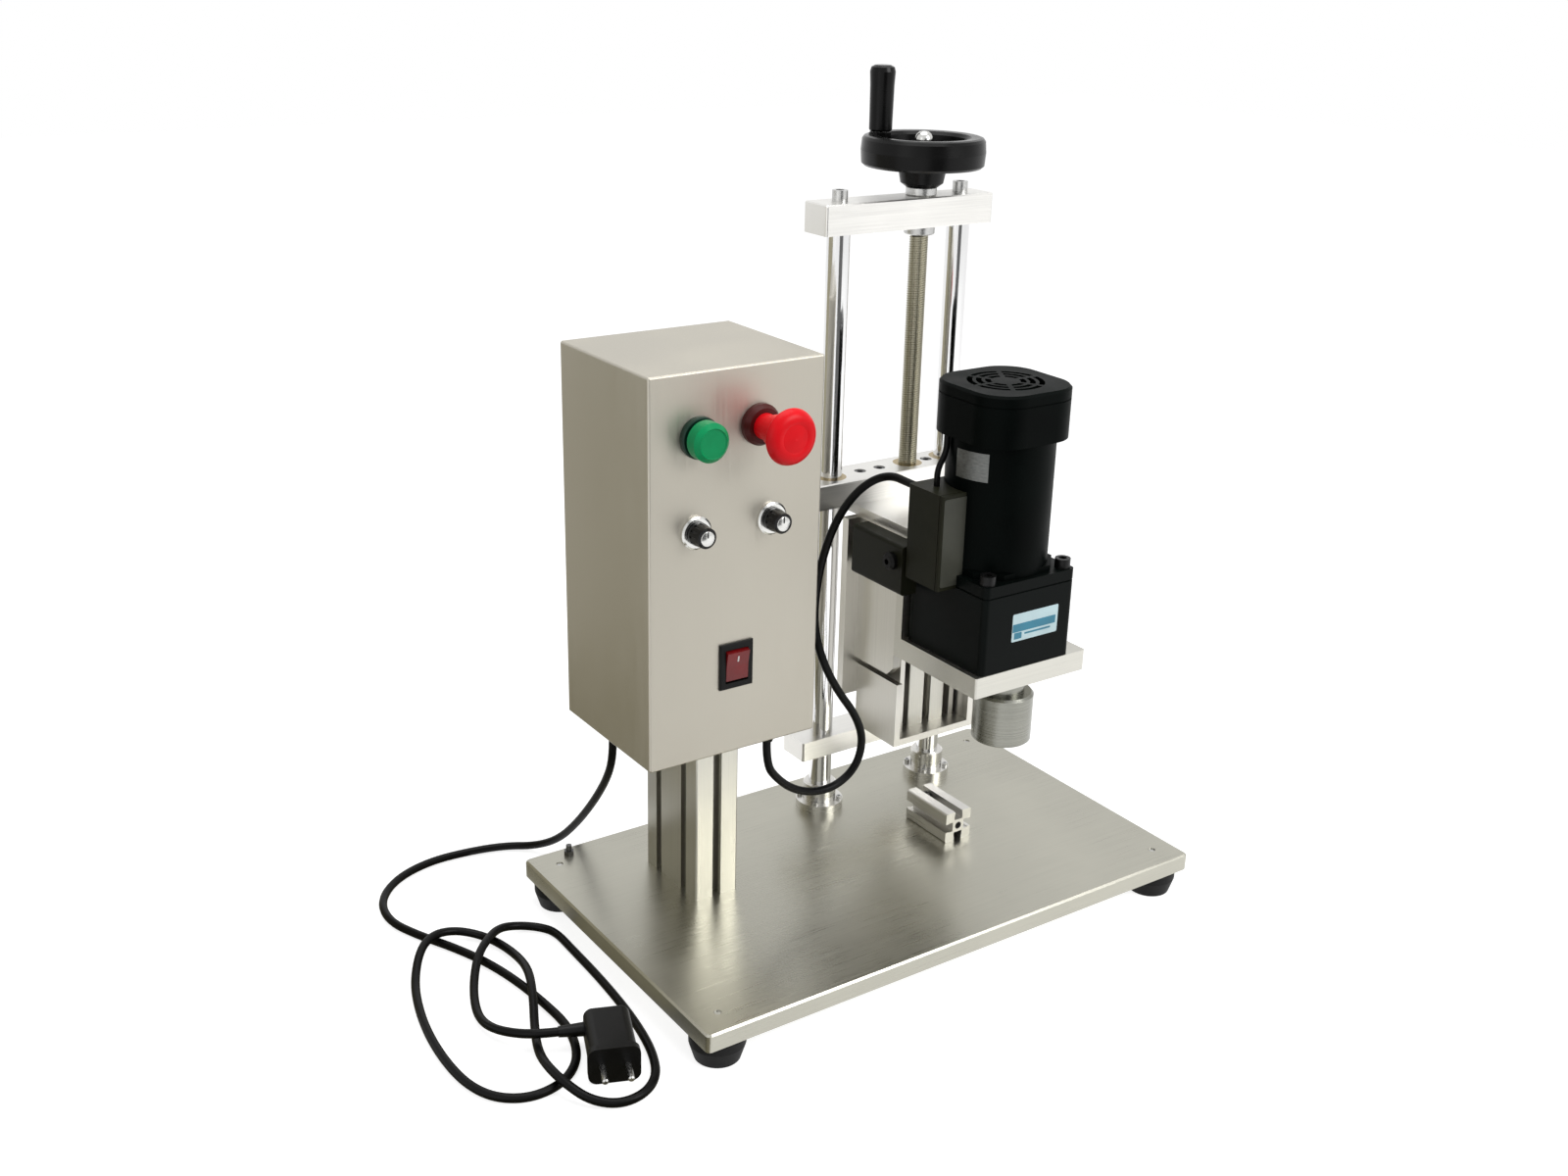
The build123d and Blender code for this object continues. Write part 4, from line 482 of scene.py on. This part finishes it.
def wrapped_plate(name, axis, radius, from_deg, to_deg, z0, z1, thick, steps=14):
    """A thin metal plate bent round a vertical cylinder, in millimetres."""
    bm = bmesh.new()
    rings = []
    for r in (radius, radius + thick):
        for z in (z0, z1):
            row = []
            for i in range(steps + 1):
                a = math.radians(from_deg + (to_deg - from_deg) * i / steps)
                row.append(bm.verts.new(((axis[0] + r * math.cos(a)) * MM, (axis[1] + r * math.sin(a)) * MM, z * MM)))
            rings.append(row)
    inner_low, inner_high, outer_low, outer_high = rings
    for i in range(steps):
        bm.faces.new((outer_low[i], outer_low[i + 1], outer_high[i + 1], outer_high[i]))
        bm.faces.new((inner_high[i], inner_high[i + 1], inner_low[i + 1], inner_low[i]))
        bm.faces.new((outer_high[i], outer_high[i + 1], inner_high[i + 1], inner_high[i]))
        bm.faces.new((inner_low[i], inner_low[i + 1], outer_low[i + 1], outer_low[i]))
    bm.faces.new((inner_low[0], outer_low[0], outer_high[0], inner_high[0]))
    bm.faces.new((outer_low[-1], inner_low[-1], inner_high[-1], outer_high[-1]))
    bmesh.ops.recalc_face_normals(bm, faces=bm.faces)
    mesh = bpy.data.meshes.new(name)
    bm.to_mesh(mesh)
    bm.free()
    return link(bpy.data.objects.new(name, mesh))


motor_low, motor_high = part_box("motor_body")
plate_top = 1000 * motor_high[2] - 7.0
nameplate = wrapped_plate("motor_nameplate", (89.0, -45.0), 44.05, 178, 217, plate_top - 23.0, plate_top, 0.4)
ride(nameplate, "carriage", plate_silver)


def knob_cap(name, x):
    """Bright disc and a dark pointer line on the knob's face."""
    low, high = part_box(name)
    y = 1000 * low[1]
    z = 1000 * (low[2] + high[2]) / 2
    disc = lathe(name + "_disc", [(0, -0.55), (5.9, -0.55), (5.9, 0.0), (5.5, 0.3), (0, 0.3)], 40,
                 (x * MM, y * MM, z * MM), facing_front(0, 0, 0))
    line = plate(name + "_pointer", (1.1, 5.0, 0.25), facing_front(x, y - 0.25, z + 3.2), radius=0.4, bevel=0.05)
    return disc, line


for name, x, body in (("knob_left", -178.0, "left_knob"), ("knob_right", -110.5, "right_knob")):
    disc, line = knob_cap(name, x)
    ride(disc, body, ring_chrome)
    ride(line, body, knob_black)


def rocker_mark(name, size, up, radius):
    """A pale mark on the rocker's upper face, which leans back with the switch on."""
    low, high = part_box("rocker_switch")
    x = 500 * (low[0] + high[0])
    y = 1000 * low[1]
    top = 1000 * high[2] - 1.6
    lean = math.atan2(2.14, 11.9)
    down = top - up
    place = Matrix.Translation((x * MM, (y + down * math.tan(lean)) * MM, up * MM))
    return plate(name, size, place @ Matrix.Rotation(lean, 4, "X") @ facing_front(0, 0, 0), radius=radius, bevel=0.04)


rocker_top = 1000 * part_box("rocker_switch")[1][2]
ride(rocker_mark("rocker_on_mark", (1.4, 5.0, 0.2), rocker_top - 7.0, 0.4), "rocker", mark_white)

# Domed end on the handwheel's nut, which stands just above the rim
nut_top = 1000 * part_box("wheel_nut")[1][2]
dome_top = 1000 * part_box("handwheel")[1][2] + 4.0
dome = lathe("wheel_nut_dome", [(0.0, nut_top - 0.5), (7.4, nut_top - 0.5), (7.4, dome_top - 7.0), (7.0, dome_top - 4.6),
                                (5.8, dome_top - 2.4), (3.8, dome_top - 0.8), (0.0, dome_top)], 40,
             (0.109, 0.098, 0.0))
ride(dome, "screw", ring_chrome)

# Floor, world and lamps
floor_mat = bpy.data.materials.new("floor_white")
floor_mat.use_nodes = True
tree = floor_mat.node_tree
tree.nodes.clear()
out = tree.nodes.new("ShaderNodeOutputMaterial")
diffuse = tree.nodes.new("ShaderNodeBsdfDiffuse")
glow = tree.nodes.new("ShaderNodeEmission")
add = tree.nodes.new("ShaderNodeAddShader")
path = tree.nodes.new("ShaderNodeLightPath")
either = tree.nodes.new("ShaderNodeMath")
either.operation = "MAXIMUM"
scale = tree.nodes.new("ShaderNodeMath")
scale.operation = "MULTIPLY"
scale.inputs[1].default_value = 0.80
diffuse.inputs["Color"].default_value = (0.50, 0.50, 0.50, 1)
tree.links.new(path.outputs["Is Camera Ray"], either.inputs[0])
tree.links.new(path.outputs["Is Glossy Ray"], either.inputs[1])
tree.links.new(either.outputs[0], scale.inputs[0])
tree.links.new(scale.outputs[0], glow.inputs["Strength"])
tree.links.new(diffuse.outputs[0], add.inputs[0])
tree.links.new(glow.outputs[0], add.inputs[1])
tree.links.new(add.outputs[0], out.inputs["Surface"])
floor = mesh_object("studio_floor", [(-6, -6, -0.0003), (6, -6, -0.0003), (6, 6, -0.0003), (-6, 6, -0.0003)],
                    [(0, 1, 2, 3)])
floor.data.materials.append(floor_mat)

def reflected_card(name, corners, colour):
    """A dim card that only mirror-like rays see, as a studio flag would be."""
    mat = bpy.data.materials.new(name)
    mat.use_nodes = True
    tree = mat.node_tree
    tree.nodes.clear()
    out = tree.nodes.new("ShaderNodeOutputMaterial")
    clear = tree.nodes.new("ShaderNodeBsdfTransparent")
    tone = tree.nodes.new("ShaderNodeEmission")
    tone.inputs["Color"].default_value = (*colour, 1)
    tone.inputs["Strength"].default_value = 1.0
    path = tree.nodes.new("ShaderNodeLightPath")
    pick = tree.nodes.new("ShaderNodeMixShader")
    tree.links.new(path.outputs["Is Glossy Ray"], pick.inputs["Fac"])
    tree.links.new(clear.outputs[0], pick.inputs[1])
    tree.links.new(tone.outputs[0], pick.inputs[2])
    tree.links.new(pick.outputs[0], out.inputs["Surface"])
    obj = mesh_object(name, corners, [(0, 1, 2, 3)])
    obj.data.materials.append(mat)
    obj.visible_shadow = False


# Neither card stands between the camera and the machine or its cord
reflected_card("left_card", [(-0.42, 0.08, 0.0), (-0.42, 0.60, 0.0), (-0.42, 0.60, 0.50), (-0.42, 0.08, 0.50)],
               (0.40, 0.37, 0.265))
reflected_card("low_card", [(-0.42, -0.30, -0.0001), (-0.262, -0.30, -0.0001), (-0.262, 0.60, -0.0001),
                            (-0.42, 0.60, -0.0001)], (0.26, 0.24, 0.165))
reflected_card("front_card", [(-0.42, -0.90, 0.0), (0.20, -0.93, 0.0), (0.20, -0.93, 1.0), (-0.42, -0.90, 1.0)],
               (0.16, 0.16, 0.16))

world = bpy.data.worlds.new("studio")
bpy.context.scene.world = world
world.use_nodes = True
tree = world.node_tree
background = tree.nodes["Background"]
background.inputs["Color"].default_value = (1, 1, 1, 1)
path = tree.nodes.new("ShaderNodeLightPath")
first = tree.nodes.new("ShaderNodeMath")
first.operation = "MAXIMUM"
second = tree.nodes.new("ShaderNodeMath")
second.operation = "MAXIMUM"
tree.links.new(path.outputs["Is Camera Ray"], first.inputs[0])
tree.links.new(path.outputs["Is Glossy Ray"], first.inputs[1])
tree.links.new(first.outputs[0], second.inputs[0])
tree.links.new(path.outputs["Is Transmission Ray"], second.inputs[1])
level = tree.nodes.new("ShaderNodeMapRange")
level.inputs["To Min"].default_value = 0.45
level.inputs["To Max"].default_value = 1.0
tree.links.new(second.outputs[0], level.inputs["Value"])
tree.links.new(level.outputs["Result"], background.inputs["Strength"])


def lamp(name, place, target, size, power):
    data = bpy.data.lights.new(name, "AREA")
    data.shape = "RECTANGLE"
    data.size, data.size_y = size
    data.energy = power
    obj = link(bpy.data.objects.new(name, data))
    direction = Vector(target) - Vector(place)
    obj.matrix_world = Matrix.Translation(place) @ direction.to_track_quat("-Z", "Y").to_matrix().to_4x4()
    return obj


lamp("key", (0.9, -1.9, 1.6), (0, 0, 0.3), (1.2, 1.2), 34)
lamp("top", (0.1, 0.2, 2.2), (0, 0, 0.2), (1.6, 1.6), 22)
lamp("fill", (-1.9, -0.6, 0.9), (0, 0, 0.3), (1.0, 1.4), 3)

bpy.context.view_layer.update()
